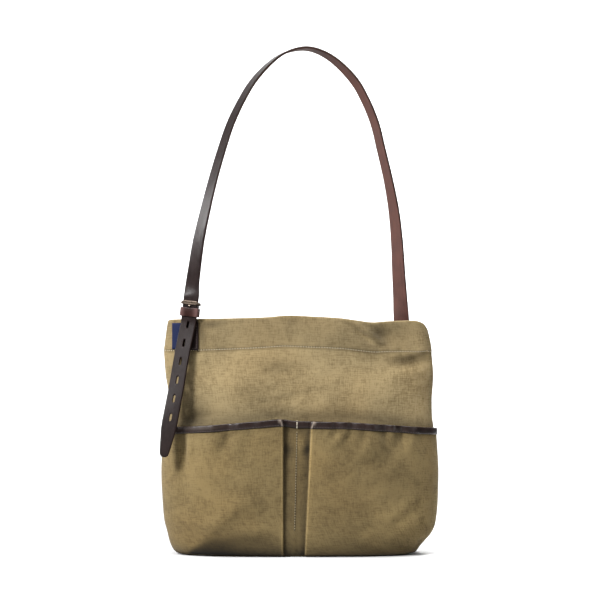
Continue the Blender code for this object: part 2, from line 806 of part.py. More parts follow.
def slotted_tab(stations, slots, material):
    """Ribbon whose slot runs on over several stations."""
    half = CHAPE_THICKNESS / 2.0
    points = []
    for centre, width, face, half_width in stations:
        slot = CHAPE_SLOT_WIDTH / 2.0
        for side, level in ((-half_width, half), (-slot, half), (slot, half), (half_width, half),
                            (half_width, -half), (slot, -half), (-slot, -half), (-half_width, -half)):
            points.append(centre + width * side + face * level)
    count = 8
    faces = []
    for i in range(len(stations) - 1):
        a = i * count
        b = a + count
        for j in range(count):
            k = (j + 1) % count
            if i in slots and j in (1, 5):
                continue
            faces.append((a + j, a + k, b + k, b + j))
        if i in slots:
            faces.append((a + 1, a + 6, b + 6, b + 1))
            faces.append((a + 2, b + 2, b + 5, a + 5))
            if i - 1 not in slots:
                faces.append((a + 1, a + 2, a + 5, a + 6))
            if i + 1 not in slots:
                faces.append((b + 1, b + 6, b + 5, b + 2))
    for base in (0, (len(stations) - 1) * count):
        for ids in ((0, 1, 6, 7), (1, 2, 5, 6), (2, 3, 4, 5)):
            faces.append(tuple(base + i for i in ids))
    return add_body("chape", points, faces, material)


def build_keeper(material):
    """Leather loop round the strap and the tab's front ply."""
    frame = buckle_origin()
    front = STRAP_THICKNESS / 2.0 + EASE
    rear = front_ply_depth() - CHAPE_THICKNESS / 2.0 - EASE
    side = STRAP_WIDTH / 2.0 + EASE
    corner = 0.0008
    inner = []
    outer = []
    for sx, sd in ((1, 1), (-1, 1), (-1, -1), (1, -1)):
        depth = front if sd > 0 else rear
        start = math.atan2(sd, sx) - math.pi / 4.0
        for k in range(4):
            angle = start + math.pi / 2.0 * k / 3
            reach = corner + KEEPER_LEATHER
            centre_side = sx * (side - corner)
            centre_depth = depth - sd * corner
            inner.append((centre_side + corner * math.cos(angle), centre_depth + corner * math.sin(angle)))
            outer.append((centre_side + reach * math.cos(angle), centre_depth + reach * math.sin(angle)))
    points = []
    rises = (KEEPER_TOP, KEEPER_TOP - KEEPER_HEIGHT)
    bevel = 0.0004
    rings = (
        # rise, shrink of the outer face
        (rises[0], bevel),
        (rises[0] - bevel, 0.0),
        (rises[1] + bevel, 0.0),
        (rises[1], bevel),
    )
    for rise, shrink in rings:
        share = 1.0 - shrink / KEEPER_LEATHER
        for (x0, d0), (x1, d1) in zip(inner, outer):
            points.append(local_point(frame, x0 + (x1 - x0) * share, d0 + (d1 - d0) * share, rise))
    for rise in (rises[1], rises[0]):
        points += [local_point(frame, x, d, rise) for x, d in inner]
    return add_body("keeper", points, tube_faces(6, len(inner), closed=True), material)


def frame_profile(height, thick, groove, is_bar=False):
    """Upright section of the frame's metal as (out, up) pairs; the hinge bar is round."""
    h = height / 2.0
    t = thick / 2.0
    pairs = (
        (t * 0.4, h), (t, h * 0.72), (t, h * 0.28), (t - groove, 0.0), (t, -h * 0.28),
        (t, -h * 0.72), (t * 0.4, -h), (-t * 0.4, -h), (-t, -h * 0.6), (-t, h * 0.6), (-t * 0.4, h),
    )
    if not is_bar:
        return pairs
    return [(out * h / math.hypot(out, lift), lift * h / math.hypot(out, lift)) for out, lift in pairs]


def build_frame(material):
    """Metal frame round the strap: grooved front bar, pointed sides and a round hinge bar."""
    frame = buckle_origin()
    bar_depth, bar_rise = bar_centre()
    right = [list(row) for row in FRAME_ROWS]
    right[-1][1] = bar_depth
    right[-1][2] = bar_rise
    right.append([0.0050, bar_depth, bar_rise, 2.0 * BAR_RADIUS, 2.0 * BAR_RADIUS])
    left = [[-row[0]] + row[1:] for row in reversed(right)]
    rows = right + left[:-1]
    if rows[0][0] == 0.0:
        rows = rows[1:]
    count = len(rows)
    points = []
    for i, (side, depth, rise, height, thick) in enumerate(rows):
        before = rows[i - 1]
        after = rows[(i + 1) % count]
        run = unit(np.array((after[0] - before[0], after[1] - before[1])))
        out_side = -run[1]
        out_depth = run[0]
        groove = 0.0007 if depth > 0.0026 else 0.0
        if np.dot((side, depth - bar_depth / 2.0), (out_side, out_depth)) < 0.0:
            out_side = -out_side
            out_depth = -out_depth
        is_bar = abs(depth - bar_depth) < 1e-9
        for out, lift in frame_profile(height, thick, groove, is_bar):
            points.append(local_point(frame, side + out_side * out, depth + out_depth * out, rise + lift))
    size = len(frame_profile(1.0, 1.0, 0.0))
    return add_body("buckle_frame", points, tube_faces(count, size, closed=True), material)


def build_prong(material):
    """Tongue hooked round the hinge bar and lying through the slot to the front bar."""
    frame = buckle_origin()
    bar_depth, bar_rise = bar_centre()
    radius = BAR_RADIUS + GAP + PRONG_THICKNESS / 2.0
    line = []
    for degrees in (60, 90, 120, 150, 180, 210, 240, 270):
        angle = math.radians(degrees)
        line.append((bar_depth + radius * math.cos(angle), bar_rise + radius * math.sin(angle)))
    line += [(-0.0030, 0.0), (0.0, 0.0), (0.0020, 0.0), (0.0040, 0.0), (0.0046, 0.0002)]
    half_side = PRONG_WIDTH / 2.0
    half = PRONG_THICKNESS / 2.0
    points = []
    for i, (depth, rise) in enumerate(line):
        before = np.array(line[max(i - 1, 0)])
        after = np.array(line[min(i + 1, len(line) - 1)])
        run = unit(after - before)
        out = np.array((run[1], -run[0]))
        for side, level in ((-1.0, 0.5), (-0.5, 1.0), (0.5, 1.0), (1.0, 0.5),
                            (1.0, -0.5), (0.5, -1.0), (-0.5, -1.0), (-1.0, -0.5)):
            offset = out * level * half
            points.append(local_point(frame, side * half_side, depth + offset[0], rise + offset[1]))
    count = 8
    faces = tube_faces(len(line), count)
    last = (len(line) - 1) * count
    faces.append(tuple(range(count)))
    faces.append(tuple(range(last, last + count)))
    return add_body("buckle_prong", points, faces, material)


def build_label(material):
    """Small flat tab on the hem beside the leather tab."""
    step = math.pi / SIDE_STEPS
    rings = []
    for up in (HEM_UP + 0.005, 1.80, 1.90, 1.945):
        edge = turn_at(up, LABEL_EDGE)
        turns = [3.0 * step, 4.0 * step, edge]
        outer = []
        inner = []
        for turn in turns:
            base = facet_point(up, turn)
            normal = plan_normal(up, turn)
            out = np.array((normal[0], normal[1], 0.0))
            inner.append(base + out * (GAP + EASE))
            outer.append(base + out * (GAP + EASE + LABEL_THICKNESS))
        rings.append(outer + list(reversed(inner)))
    count = len(rings[0])
    points = [p for ring in rings for p in ring]
    faces = tube_faces(len(rings), count)
    top = (len(rings) - 1) * count
    for base in (0, top):
        faces.append((base, base + 1, base + 4, base + 5))
        faces.append((base + 1, base + 2, base + 3, base + 4))
    return add_body("label", points, faces, material, smooth=False)


def main():
    clear_scene()
    canvas = make_material("canvas", (0.30, 0.235, 0.13), 0.9)
    pocket_canvas = make_material("pocket_canvas", (0.28, 0.215, 0.12), 0.9)
    dark_leather = make_material("leather_dark", (0.045, 0.026, 0.020), 0.45)
    binding_leather = make_material("leather_binding", (0.040, 0.022, 0.018), 0.4)
    tab_leather = make_material("leather_tab", (0.040, 0.022, 0.018), 0.5)
    brown_leather = make_material("leather_brown", (0.13, 0.05, 0.035), 0.45)
    label_cloth = make_material("label", (0.012, 0.02, 0.10), 0.7)
    metal = make_material("metal", (0.42, 0.33, 0.24), 0.3, 1.0)
    prong_metal = make_material("metal_prong", (0.45, 0.36, 0.27), 0.3, 1.0)
    build_sack(canvas)
    build_panel(pocket_canvas)
    build_binding(binding_leather)
    build_label(label_cloth)
    build_chape(tab_leather)
    build_frame(metal)
    build_prong(prong_metal)
    build_keeper(brown_leather)
    build_strap(dark_leather)


main()
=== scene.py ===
import math

import bmesh
import bpy
import numpy as np
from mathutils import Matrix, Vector, noise


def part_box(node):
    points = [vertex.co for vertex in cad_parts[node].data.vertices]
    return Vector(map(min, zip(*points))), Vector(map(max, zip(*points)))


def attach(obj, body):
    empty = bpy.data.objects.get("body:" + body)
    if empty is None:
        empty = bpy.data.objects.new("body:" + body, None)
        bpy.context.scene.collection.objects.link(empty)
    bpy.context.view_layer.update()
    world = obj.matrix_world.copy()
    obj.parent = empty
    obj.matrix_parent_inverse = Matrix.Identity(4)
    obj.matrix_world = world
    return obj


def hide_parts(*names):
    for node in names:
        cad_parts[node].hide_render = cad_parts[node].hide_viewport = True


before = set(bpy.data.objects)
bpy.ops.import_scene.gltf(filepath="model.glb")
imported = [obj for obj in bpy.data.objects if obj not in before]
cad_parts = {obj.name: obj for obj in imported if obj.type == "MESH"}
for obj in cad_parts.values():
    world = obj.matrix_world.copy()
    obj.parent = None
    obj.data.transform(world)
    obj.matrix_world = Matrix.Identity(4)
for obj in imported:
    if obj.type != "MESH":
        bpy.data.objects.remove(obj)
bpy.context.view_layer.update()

# Sizes shared with the construction, in metres.
HALF_WIDTH = 0.182
HALF_DEPTH = 0.043
MOUTH_HEIGHT = 0.1735
BODY_HEIGHT = 0.314
CANVAS = 0.0013
HEM_THICKNESS = 0.0026
HEM_UP = 1.695
GAP = 0.0003
EASE = 0.00035
PANEL_CLOTH = 0.0012
LEFT_FOLD = -0.1125
RIGHT_FOLD_TOP = 0.0912
RIGHT_FOLD_LOW = 0.0473
PLEAT_CENTRE = -0.0071
PLEAT_RETURN = 0.014
BINDING_LEATHER = 0.0009
BINDING_DROP = 0.008
STRAP_WIDTH = 0.0210
STRAP_THICKNESS = 0.0032
STRAP_SPAN = 1.5335 * HALF_WIDTH
STRAP_RISE = 0.3589
STRAP_FOOT_X = -0.7797 * HALF_WIDTH
FOOT_BELOW_RIM = 0.002
SLOT_WIDTH = 0.0036
SLOT_LENGTH = 0.010
SLOT_PITCH = 0.025
SLOT_COUNT = 7
BUCKLE_X = -0.7890 * HALF_WIDTH
BUCKLE_LEAN = (0.11, 0.03, 1.0)
BUCKLE_TWIST = 18.0
BUCKLE_ABOVE_RIM = 0.018
CHAPE_X = -0.7736 * HALF_WIDTH
CHAPE_WIDTH = 0.0185
CHAPE_THICKNESS = 0.0018
CHAPE_BACK_PLY = 0.0105
CHAPE_LIFT = 0.0014
BAR_RADIUS = 0.0013
PRONG_THICKNESS = 0.0010
KEEPER_LEATHER = 0.0016
KEEPER_TOP = -0.0026
KEEPER_HEIGHT = 0.0117
LABEL_THICKNESS = 0.0010
LABEL_CLEAR = 0.00145
LABEL_EDGE = CHAPE_X - CHAPE_WIDTH / 2.0 - LABEL_CLEAR
LABEL_LEFT = -0.1668
STITCH_PITCH = 0.0035
EDGING_PITCH = 0.0036
LEG_PITCH = 0.0034

BODY_ROWS = (
    # up, left, right, front, back, power
    (0.000, 0.850, 0.806, 0.70, 0.70, 4.0),
    (0.012, 0.886, 0.840, 0.77, 0.76, 4.0),
    (0.064, 0.921, 0.880, 0.88, 0.86, 4.0),
    (0.110, 0.938, 0.917, 0.93, 0.91, 4.0),
    (0.156, 0.951, 0.955, 0.96, 0.93, 4.0),
    (0.249, 0.970, 0.992, 0.98, 0.95, 3.9),
    (0.434, 0.984, 1.008, 1.00, 0.96, 3.8),
    (0.636, 0.991, 1.010, 1.00, 0.94, 3.5),
    (0.838, 0.981, 1.000, 0.96, 0.90, 3.2),
    (0.942, 0.973, 0.991, 0.93, 0.87, 3.0),
    (1.000, 0.967, 0.988, 0.91, 0.85, 2.9),
    (1.120, 0.956, 0.978, 0.87, 0.81, 2.75),
    (1.270, 0.950, 0.977, 0.82, 0.78, 2.6),
    (1.500, 0.972, 0.986, 0.76, 0.73, 2.4),
    (1.695, 0.979, 0.978, 0.71, 0.69, 2.3),
    (1.800, 0.971, 0.969, 0.68, 0.66, 2.25),
    (1.900, 0.961, 0.957, 0.65, 0.63, 2.2),
    (2.000, 0.949, 0.943, 0.62, 0.60, 2.2),
)

RIM_LINE = (
    (-0.950, 0.986), (-0.935, 0.990), (-0.900, 0.991), (-0.500, 0.995), (-0.260, 0.999), (-0.060, 1.007),
    (0.090, 1.003), (0.230, 0.999), (0.320, 0.995), (0.430, 0.986), (0.550, 0.978), (0.640, 0.982),
    (0.840, 0.986), (0.880, 0.982), (0.912, 0.974), (0.943, 0.950),
)

MOUTH_LINE = (
    (-1.00, 0.967), (-0.86, 0.973), (-0.60, 0.993), (-0.30, 1.022), (-0.14, 1.035), (0.00, 1.020),
    (0.30, 1.017), (0.60, 0.996), (0.86, 0.972), (1.00, 0.957),
)

SACK_FOLDS = (
    # side, across, up, half_width, half_height, turn, push
    (-1, 0.66, 1.86, 0.14, 0.10, 0.0, -0.0022),
    (-1, 0.32, 1.86, 0.12, 0.12, 0.0, 0.0018),
    (-1, 0.62, 1.62, 0.16, 0.12, 12.0, -0.0026),
    (-1, -0.40, 1.35, 0.24, 0.22, 0.0, 0.0028),
    (-1, 0.45, 1.35, 0.26, 0.20, 10.0, 0.0020),
    (-1, -0.80, 1.18, 0.14, 0.14, 0.0, -0.0020),
    (-1, -0.62, 0.14, 0.30, 0.07, -8.0, -0.0030),
    (-1, -0.50, 0.36, 0.26, 0.12, 35.0, 0.0024),
    (-1, 0.62, 0.30, 0.24, 0.10, -25.0, 0.0022),
    (1, 0.00, 1.20, 0.40, 0.30, 0.0, -0.0030),
    (1, -0.55, 0.60, 0.22, 0.22, 30.0, 0.0025),
    (1, 0.55, 0.45, 0.24, 0.20, -30.0, 0.0022),
    (1, 0.10, 0.20, 0.50, 0.08, 0.0, -0.0020),
    (1, -0.30, 1.60, 0.18, 0.12, 8.0, -0.0016),
)

PANEL_ROWS = (
    # up, seam, pitch, belly
    (0.012, 0.00095, 0.0017, 0.0003),
    (0.064, 0.00095, 0.0018, 0.0008),
    (0.110, 0.00100, 0.0018, 0.0016),
    (0.156, 0.00100, 0.0019, 0.0026),
    (0.249, 0.00105, 0.0021, 0.0042),
    (0.434, 0.00120, 0.0025, 0.0058),
    (0.636, 0.00150, 0.0030, 0.0064),
    (0.838, 0.00210, 0.0037, 0.0066),
    (0.942, 0.00260, 0.0041, 0.0066),
    (1.000, 0.00280, 0.0041, 0.0066),
)

PANEL_FOLDS = (
    # across, up, half_width, half_height, turn, push
    (-0.80, 0.78, 0.060, 0.16, 5.0, -0.0034),
    (-0.50, 0.84, 0.055, 0.12, 0.0, -0.0024),
    (-0.64, 0.86, 0.060, 0.12, 0.0, 0.0018),
    (0.34, 0.86, 0.060, 0.12, 0.0, -0.0024),
    (0.50, 0.80, 0.060, 0.16, 18.0, 0.0024),
    (0.66, 0.84, 0.055, 0.12, 0.0, -0.0024),
    (0.84, 0.86, 0.060, 0.12, 0.0, 0.0018),
)

# Finer creases of the sack's front, in millimetres: x, z, half length, half width, turn of the
# crease from the X axis, depth, and kind (0 a dent or swelling, 1 a step lit on one side).
SACK_CREASES = (
    (90.0, 290.0, 25.0, 5.5, -34.0, 4.2, 1),
    (84.0, 296.0, 20.0, 4.5, -36.0, 2.0, 1),
    (109.0, 290.0, 16.0, 7.5, -30.0, -4.0, 0),
    (112.0, 276.0, 10.0, 4.0, 12.0, -1.3, 0),
    (147.0, 254.0, 20.0, 8.0, 8.0, -4.2, 0),
    (144.0, 265.0, 24.0, 5.5, 6.0, 2.2, 0),
    (142.0, 240.0, 18.0, 7.0, 14.0, 0.6, 0),
    (-102.0, 305.0, 14.0, 5.0, 10.0, -1.0, 0),
    (-6.0, 292.0, 16.0, 9.0, 70.0, -0.9, 0),
    (-25.0, 244.0, 24.0, 9.0, 10.0, -2.0, 0),
    (25.0, 240.0, 26.0, 8.0, 40.0, 0.8, 0),
    (70.0, 236.0, 20.0, 7.0, -50.0, -0.7, 0),
    (-86.0, 222.0, 34.0, 16.0, 20.0, 1.2, 0),
    (-60.0, 262.0, 22.0, 7.0, -12.0, 0.7, 0),
    (-120.0, 240.0, 24.0, 9.0, 75.0, -0.9, 0),
    (-140.0, 176.0, 32.0, 12.0, 4.0, -6.0, 0),
    (-26.0, 177.0, 26.0, 9.0, 4.0, -4.0, 0),
    (58.0, 176.0, 52.0, 9.0, -3.0, -4.2, 0),
    (120.0, 196.0, 26.0, 9.0, -12.0, -0.9, 0),
    (2.0, 190.0, 16.0, 7.0, 80.0, 0.8, 0),
    (0.0, 215.0, 60.0, 6.0, 12.0, 0.6, 1),
    (150.0, 214.0, 18.0, 7.0, 30.0, 0.5, 0),
    (-150.0, 262.0, 12.0, 6.0, 60.0, 0.8, 1),
)

# Finer creases of the pocket cloth, in the same columns.
PANEL_CREASES = (
    (-149.0, 138.0, 22.0, 4.6, 88.0, -3.9, 0),
    (-140.0, 140.0, 20.0, 5.0, 82.0, 1.8, 0),
    (-158.0, 142.0, 20.0, 4.0, 92.0, 1.35, 0),
    (-92.0, 155.0, 13.0, 4.4, 68.0, -2.85, 0),
    (-112.0, 157.0, 15.0, 6.0, 98.0, 1.65, 0),
    (-84.0, 143.0, 18.0, 5.0, 60.0, 1.35, 0),
    (-60.0, 161.0, 12.0, 4.0, 80.0, -1.05, 0),
    (-40.0, 159.0, 12.0, 4.0, 96.0, 0.9, 0),
    (46.0, 162.0, 11.0, 4.0, 60.0, -2.84, 0),
    (58.0, 159.0, 13.0, 3.6, 50.0, 2.63, 0),
    (66.0, 163.0, 9.0, 3.6, 62.0, -2.63, 0),
    (84.0, 157.0, 13.0, 4.2, 78.0, -3.24, 0),
    (103.0, 153.0, 18.0, 4.6, 118.0, 3.04, 0),
    (112.0, 163.0, 10.0, 3.6, 96.0, -2.43, 0),
    (122.0, 161.0, 11.0, 3.6, 84.0, 2.03, 0),
    (134.0, 158.0, 13.0, 4.2, 98.0, -3.24, 0),
    (148.0, 157.0, 14.0, 5.0, 76.0, 1.65, 0),
    (158.0, 161.0, 11.0, 3.6, 90.0, -1.5, 0),
    (96.0, 122.0, 30.0, 11.0, 8.0, -1.3, 0),
    (122.0, 118.0, 22.0, 9.0, 55.0, 1.2, 0),
    (110.0, 84.0, 40.0, 10.0, 34.0, 0.9, 0),
    (64.0, 92.0, 26.0, 9.0, -30.0, -0.7, 0),
    (130.0, 52.0, 34.0, 9.0, 40.0, 1.2, 1),
    (100.0, 40.0, 34.0, 8.0, 16.0, -1.0, 0),
    (-104.0, 44.0, 50.0, 9.0, 38.0, 1.5, 0),
    (-72.0, 12.0, 62.0, 12.0, 6.0, -4.4, 0),
    (-60.0, 34.0, 46.0, 9.0, 8.0, 1.2, 0),
    (-92.0, 58.0, 34.0, 9.0, 40.0, 1.3, 0),
    (-60.0, 84.0, 30.0, 10.0, 30.0, -0.8, 0),
    (-100.0, 108.0, 30.0, 11.0, -20.0, 0.9, 0),
    (-150.0, 70.0, 26.0, 9.0, 80.0, -0.8, 0),
    (-60.0, 120.0, 22.0, 9.0, 55.0, 0.7, 0),
)

# Creases of the recessed middle of the pleat.
PLEAT_CREASES = (
    (1.0, 134.0, 13.0, 3.2, 14.0, -0.9, 0),
    (-9.0, 140.0, 9.0, 3.0, -38.0, -0.8, 0),
    (8.0, 143.0, 9.0, 3.0, 42.0, 0.7, 0),
    (-12.0, 112.0, 12.0, 3.0, 84.0, -0.5, 0),
    (4.0, 96.0, 14.0, 3.0, 80.0, -0.4, 0),
)

# Soft relief of the cloth as noises.
SACK_NOISE = (
    # scale, seed, depth
    (0.060, 11.3, 0.0011), (0.024, 31.7, 0.00050), (0.009, 53.1, 0.00016),
)
PANEL_NOISE = ((0.055, 71.0, 0.0010), (0.021, 83.0, 0.00045), (0.008, 97.0, 0.00014))

# Painted shade and painted light on the cloth's front, in metres: shade of dents, of the strap and keeper on
# the hem and above the pocket's mouth, and painted light at the upper right; a change below 0 darkens.
SACK_PAINTED_SHADE_AND_LIGHT = (
    # x, z, half width, half height, change
    (-0.138, 0.190, 0.022, 0.020, -0.42),
    (-0.024, 0.244, 0.022, 0.009, -0.16),
    (-0.117, 0.3045, 0.015, 0.0055, -0.34),
    (-0.128, 0.290, 0.006, 0.014, -0.26),
    (0.149, 0.256, 0.018, 0.007, -0.30),
    (0.108, 0.290, 0.011, 0.012, -0.34),
    (0.118, 0.224, 0.045, 0.026, 0.24),
)
# Painted light at the lower right of the right pocket, in the same columns.
POCKET_PAINTED_LIGHT = ((0.125, 0.045, 0.045, 0.030, 0.42),)
# Painted shade and a painted highlight in the top of the pleat's recess, in the same columns.
PLEAT_PAINTED_SHADE_AND_LIGHT = (
    (-0.0135, 0.141, 0.0075, 0.009, -0.34),
    (0.0105, 0.143, 0.0045, 0.012, -0.38),
    (0.0015, 0.152, 0.0085, 0.008, 0.34),
)

# Painted highlight along the lit side of the crease at the upper right: its middle, its run as a unit vector,
# half length and half width.
HIGHLIGHT_STREAK_MIDDLE = (0.086, 0.289)
HIGHLIGHT_STREAK_RUN = (0.83, -0.56)
HIGHLIGHT_STREAK_SIZE = (0.019, 0.0055)

# Upper line of the painted shade under the overhanging fold at the lower left of the left pocket, by x.
BRINK_X = (-0.150, -0.143, -0.122, -0.108, -0.020)
BRINK_Z = (0.005, 0.007, 0.0200, 0.0240, 0.0225)

TAIL_DROP = 0.1765
TAIL_ROWS = (
    # across, front, drop, twist
    (-0.967, -1.20, 1.018, 6.0),
    (-0.924, -0.98, 0.755, 12.0),
    (-0.882, -0.79, 0.510, 19.0),
    (-0.836, -0.60, 0.225, 20.0),
)

ARCH_ROWS = (
    # across, up, back, twist
    (0.005, 0.121, 0.04, 30.0), (0.014, 0.176, 0.06, 37.0), (0.035, 0.287, 0.11, 45.0),
    (0.066, 0.398, 0.16, 52.0), (0.101, 0.509, 0.21, 57.0), (0.142, 0.620, 0.26, 59.5),
    (0.191, 0.732, 0.32, 62.5), (0.265, 0.846, 0.38, 66.5), (0.318, 0.903, 0.41, 70.0),
    (0.393, 0.960, 0.45, 77.0), (0.455, 0.988, 0.48, 84.0), (0.537, 1.001, 0.50, 93.0),
    (0.605, 0.990, 0.53, 99.0), (0.677, 0.958, 0.55, 106.0),
    (0.752, 0.903, 0.59, 112.0), (0.803, 0.848, 0.63, 113.5), (0.868, 0.736, 0.69, 115.0),
    (0.905, 0.624, 0.75, 116.0), (0.939, 0.512, 0.80, 118.0), (0.965, 0.400, 0.86, 125.0),
    (0.980, 0.288, 0.91, 132.0), (0.988, 0.177, 0.95, 139.0), (0.996, 0.075, 0.99, 148.0),
)
FRONT_FOOT_Y = -0.0185
REAR_FOOT_Y = 0.0185

REAR_ROWS = ((0.755, 1.985), (0.760, 1.900), (0.765, 1.800), (0.768, 1.740))

TIP_ROWS = (
    (0.0000, 0.22), (0.0006, 0.33), (0.0016, 0.43), (0.0035, 0.53), (0.0080, 0.62),
    (0.0170, 0.73), (0.0280, 0.86), (0.0390, 0.97), (0.0460, 1.0),
)


def unit(vector):
    return vector / np.linalg.norm(vector)


def bell(value, width):
    """Share that is 1 where the value is 0 and fades over the width."""
    return np.exp(-(value / width) ** 2)


def rise(value, start, reach):
    """Share that goes straight from 0 at the start to 1 after the reach."""
    return np.clip((value - start) / reach, 0.0, 1.0)


def marks_at(x, z, rows):
    """Sum of a table of soft marks."""
    return sum(change * bell(x - cx, wide) * bell(z - cz, tall) for cx, cz, wide, tall, change in rows)


def run_lengths(points):
    """Run from the first point to each of the points."""
    return np.concatenate(([0.0], np.cumsum(np.linalg.norm(np.diff(points, axis=0), axis=1))))


def sample(rows, lengths, values):
    """Reads the columns of an array of rows at given runs."""
    return np.stack([np.interp(values, lengths, rows[:, c]) for c in range(rows.shape[1])], axis=-1)


def smooth_lookup(table, column, values):
    """Cubic reading of a table column, without overshoot, for an array of values."""
    xs = np.array([row[0] for row in table])
    ys = np.array([row[column] for row in table])
    h = np.diff(xs)
    d = np.diff(ys) / h
    m = np.zeros(len(xs))
    m[0], m[-1] = d[0], d[-1]
    for i in range(1, len(xs) - 1):
        if d[i - 1] * d[i] > 0:
            w1 = 2 * h[i] + h[i - 1]
            w2 = h[i] + 2 * h[i - 1]
            m[i] = (w1 + w2) / (w1 / d[i - 1] + w2 / d[i])
    v = np.clip(np.asarray(values, float), xs[0], xs[-1])
    i = np.clip(np.searchsorted(xs, v, side="right") - 1, 0, len(xs) - 2)
    t = (v - xs[i]) / h[i]
    return ((2 * t ** 3 - 3 * t ** 2 + 1) * ys[i] + (t ** 3 - 2 * t ** 2 + t) * h[i] * m[i]
            + (3 * t ** 2 - 2 * t ** 3) * ys[i + 1] + (t ** 3 - t ** 2) * h[i] * m[i + 1])


def rim_height(x):
    return BODY_HEIGHT * smooth_lookup(RIM_LINE, 1, np.asarray(x) / HALF_WIDTH)


def mouth_height(x):
    return MOUTH_HEIGHT * smooth_lookup(MOUTH_LINE, 1, np.asarray(x) / HALF_WIDTH)


def level_height(up, x):
    low = mouth_height(x)
    return np.where(up <= 1.0, up * low, low + (up - 1.0) * (rim_height(x) - low))


def bump(across, up, row):
    centre_across, centre_up, half_width, half_height, turn = row
    angle = math.radians(turn)
    da = across - centre_across
    du = up - centre_up
    along = (da * math.cos(angle) + du * math.sin(angle)) / half_width
    over = (du * math.cos(angle) - da * math.sin(angle)) / half_height
    reach = np.minimum(along * along + over * over, 4.0)
    return (1.0 - reach / 4.0) ** 3


def crease(x, z, rows):
    """Push in metres of a table of creases at places given in metres."""
    total = np.zeros_like(x)
    for cx, cz, half_length, half_width, turn, depth, kind in rows:
        angle = math.radians(turn)
        dx = x * 1000.0 - cx
        dz = z * 1000.0 - cz
        along = (dx * math.cos(angle) + dz * math.sin(angle)) / half_length
        over = (dz * math.cos(angle) - dx * math.sin(angle)) / half_width
        fade = np.exp(-along * along - over * over)
        total += depth * 0.001 * (fade * over * 1.6 if kind else fade)
    return total


def soft_noise(points, scale, seed):
    """Smooth noise from -1 to 1 at an array of points, one feature every scale metres."""
    flat = points.reshape(-1, 3) / scale + seed
    values = [noise.noise(Vector(p)) for p in flat.tolist()]
    return np.array(values).reshape(points.shape[:-1])


def soft_relief(points, rows):
    return sum(depth * soft_noise(points, scale, seed) for scale, seed, depth in rows)


def level_row(up):
    return [smooth_lookup(BODY_ROWS, column, up) for column in range(1, 6)]


def plan_points(up, turn):
    turn = np.mod(turn, 2.0 * math.pi)
    left, right, front, back, power = level_row(up)
    middle = HALF_WIDTH * (right - left) / 2.0
    half = HALF_WIDTH * (right + left) / 2.0
    u = -np.cos(turn)
    swell = np.sqrt(np.maximum(0.0, 1.0 - np.abs(u) ** power))
    depth = np.where(turn <= math.pi, -front, back)
    return middle + half * u, HALF_DEPTH * depth * swell


def plan_normals(up, turn):
    step = 0.004
    x1, y1 = plan_points(up, turn + step)
    x0, y0 = plan_points(up, turn - step)
    nx, ny = (y1 - y0), -(x1 - x0)
    length = np.hypot(nx, ny)
    return nx / length, ny / length


def sack_push(side, x, up):
    push = np.zeros_like(x)
    for row in SACK_FOLDS:
        front = side < 0 if row[0] < 0 else side > 0
        push += np.where(front, row[6] * bump(x / HALF_WIDTH, up, row[1:6]), 0.0)
    return push


def skin(up, turn, inset=0.0, extra=0.0):
    """Outer face of the sack as an array of points, for arrays of level and turn."""
    up, turn = np.broadcast_arrays(np.asarray(up, float), np.asarray(turn, float))
    x, y = plan_points(up, turn)
    nx, ny = plan_normals(up, turn)
    side = np.where(np.mod(turn, 2 * math.pi) <= math.pi, -1, 1)
    push = sack_push(side, x, up) - inset + extra
    return np.stack([x + nx * push, y + ny * push, level_height(up, x)], axis=-1)


def skin_normal(up, turn):
    """Unit normals of the outer face in space."""
    step = 0.006
    a = skin(up, np.asarray(turn) + step) - skin(up, np.asarray(turn) - step)
    low = np.clip(np.asarray(up) - 0.01, 0.0, 2.0)
    high = np.clip(np.asarray(up) + 0.01, 0.0, 2.0)
    b = skin(high, turn) - skin(low, turn)
    n = np.cross(a, b)
    return n / np.linalg.norm(n, axis=-1, keepdims=True)


def turn_at(up, x):
    left, right = level_row(up)[:2]
    middle = HALF_WIDTH * (right - left) / 2.0
    half = HALF_WIDTH * (right + left) / 2.0
    return np.arccos(np.clip(-(x - middle) / half, -1.0, 1.0))


def new_object(name, points, faces, materials, uv=None, face_slots=None):
    mesh = bpy.data.meshes.new(name)
    mesh.from_pydata(np.asarray(points, float).reshape(-1, 3).tolist(), [], faces)
    if uv is not None:
        layer = mesh.uv_layers.new(name="UVMap")
        loops = np.zeros(len(mesh.loops), dtype=np.int32)
        mesh.loops.foreach_get("vertex_index", loops)
        layer.data.foreach_set("uv", np.asarray(uv, float).reshape(-1, 2)[loops].ravel())
    for material in materials:
        mesh.materials.append(material)
    if face_slots is not None:
        mesh.polygons.foreach_set("material_index", np.asarray(face_slots, dtype=np.int32))
    mesh.polygons.foreach_set("use_smooth", np.full(len(mesh.polygons), True))
    mesh.validate()
    mesh.update()
    obj = bpy.data.objects.new(name, mesh)
    bpy.context.scene.collection.objects.link(obj)
    return obj


def add_painted_light_and_tone(obj, values):
    """Darker (below 0) or paler (above 0) places, one value a vertex: mostly painted shade and painted light.
    """
    layer = obj.data.attributes.new("painted_light_and_tone", "FLOAT", "POINT")
    layer.data.foreach_set("value", np.asarray(values, dtype=np.float32))
    return obj


def outward(obj):
    """Turns the faces of a closed mesh outward."""
    work = bmesh.new()
    work.from_mesh(obj.data)
    bmesh.ops.recalc_face_normals(work, faces=work.faces)
    if work.calc_volume(signed=True) < 0.0:
        bmesh.ops.reverse_faces(work, faces=work.faces)
    work.to_mesh(obj.data)
    work.free()
    return obj


def tube_faces(rings, count, closed=False, caps=False):
    """Quads between rings of count points each, with a flat cap at each end where asked for."""
    faces = []
    for i in range(rings if closed else rings - 1):
        a = i * count
        b = ((i + 1) % rings) * count
        for j in range(count):
            k = (j + 1) % count
            faces.append((a + j, a + k, b + k, b + j))
    if caps:
        last = (rings - 1) * count
        faces += [tuple(range(count)), tuple(range(last, last + count))]
    return faces


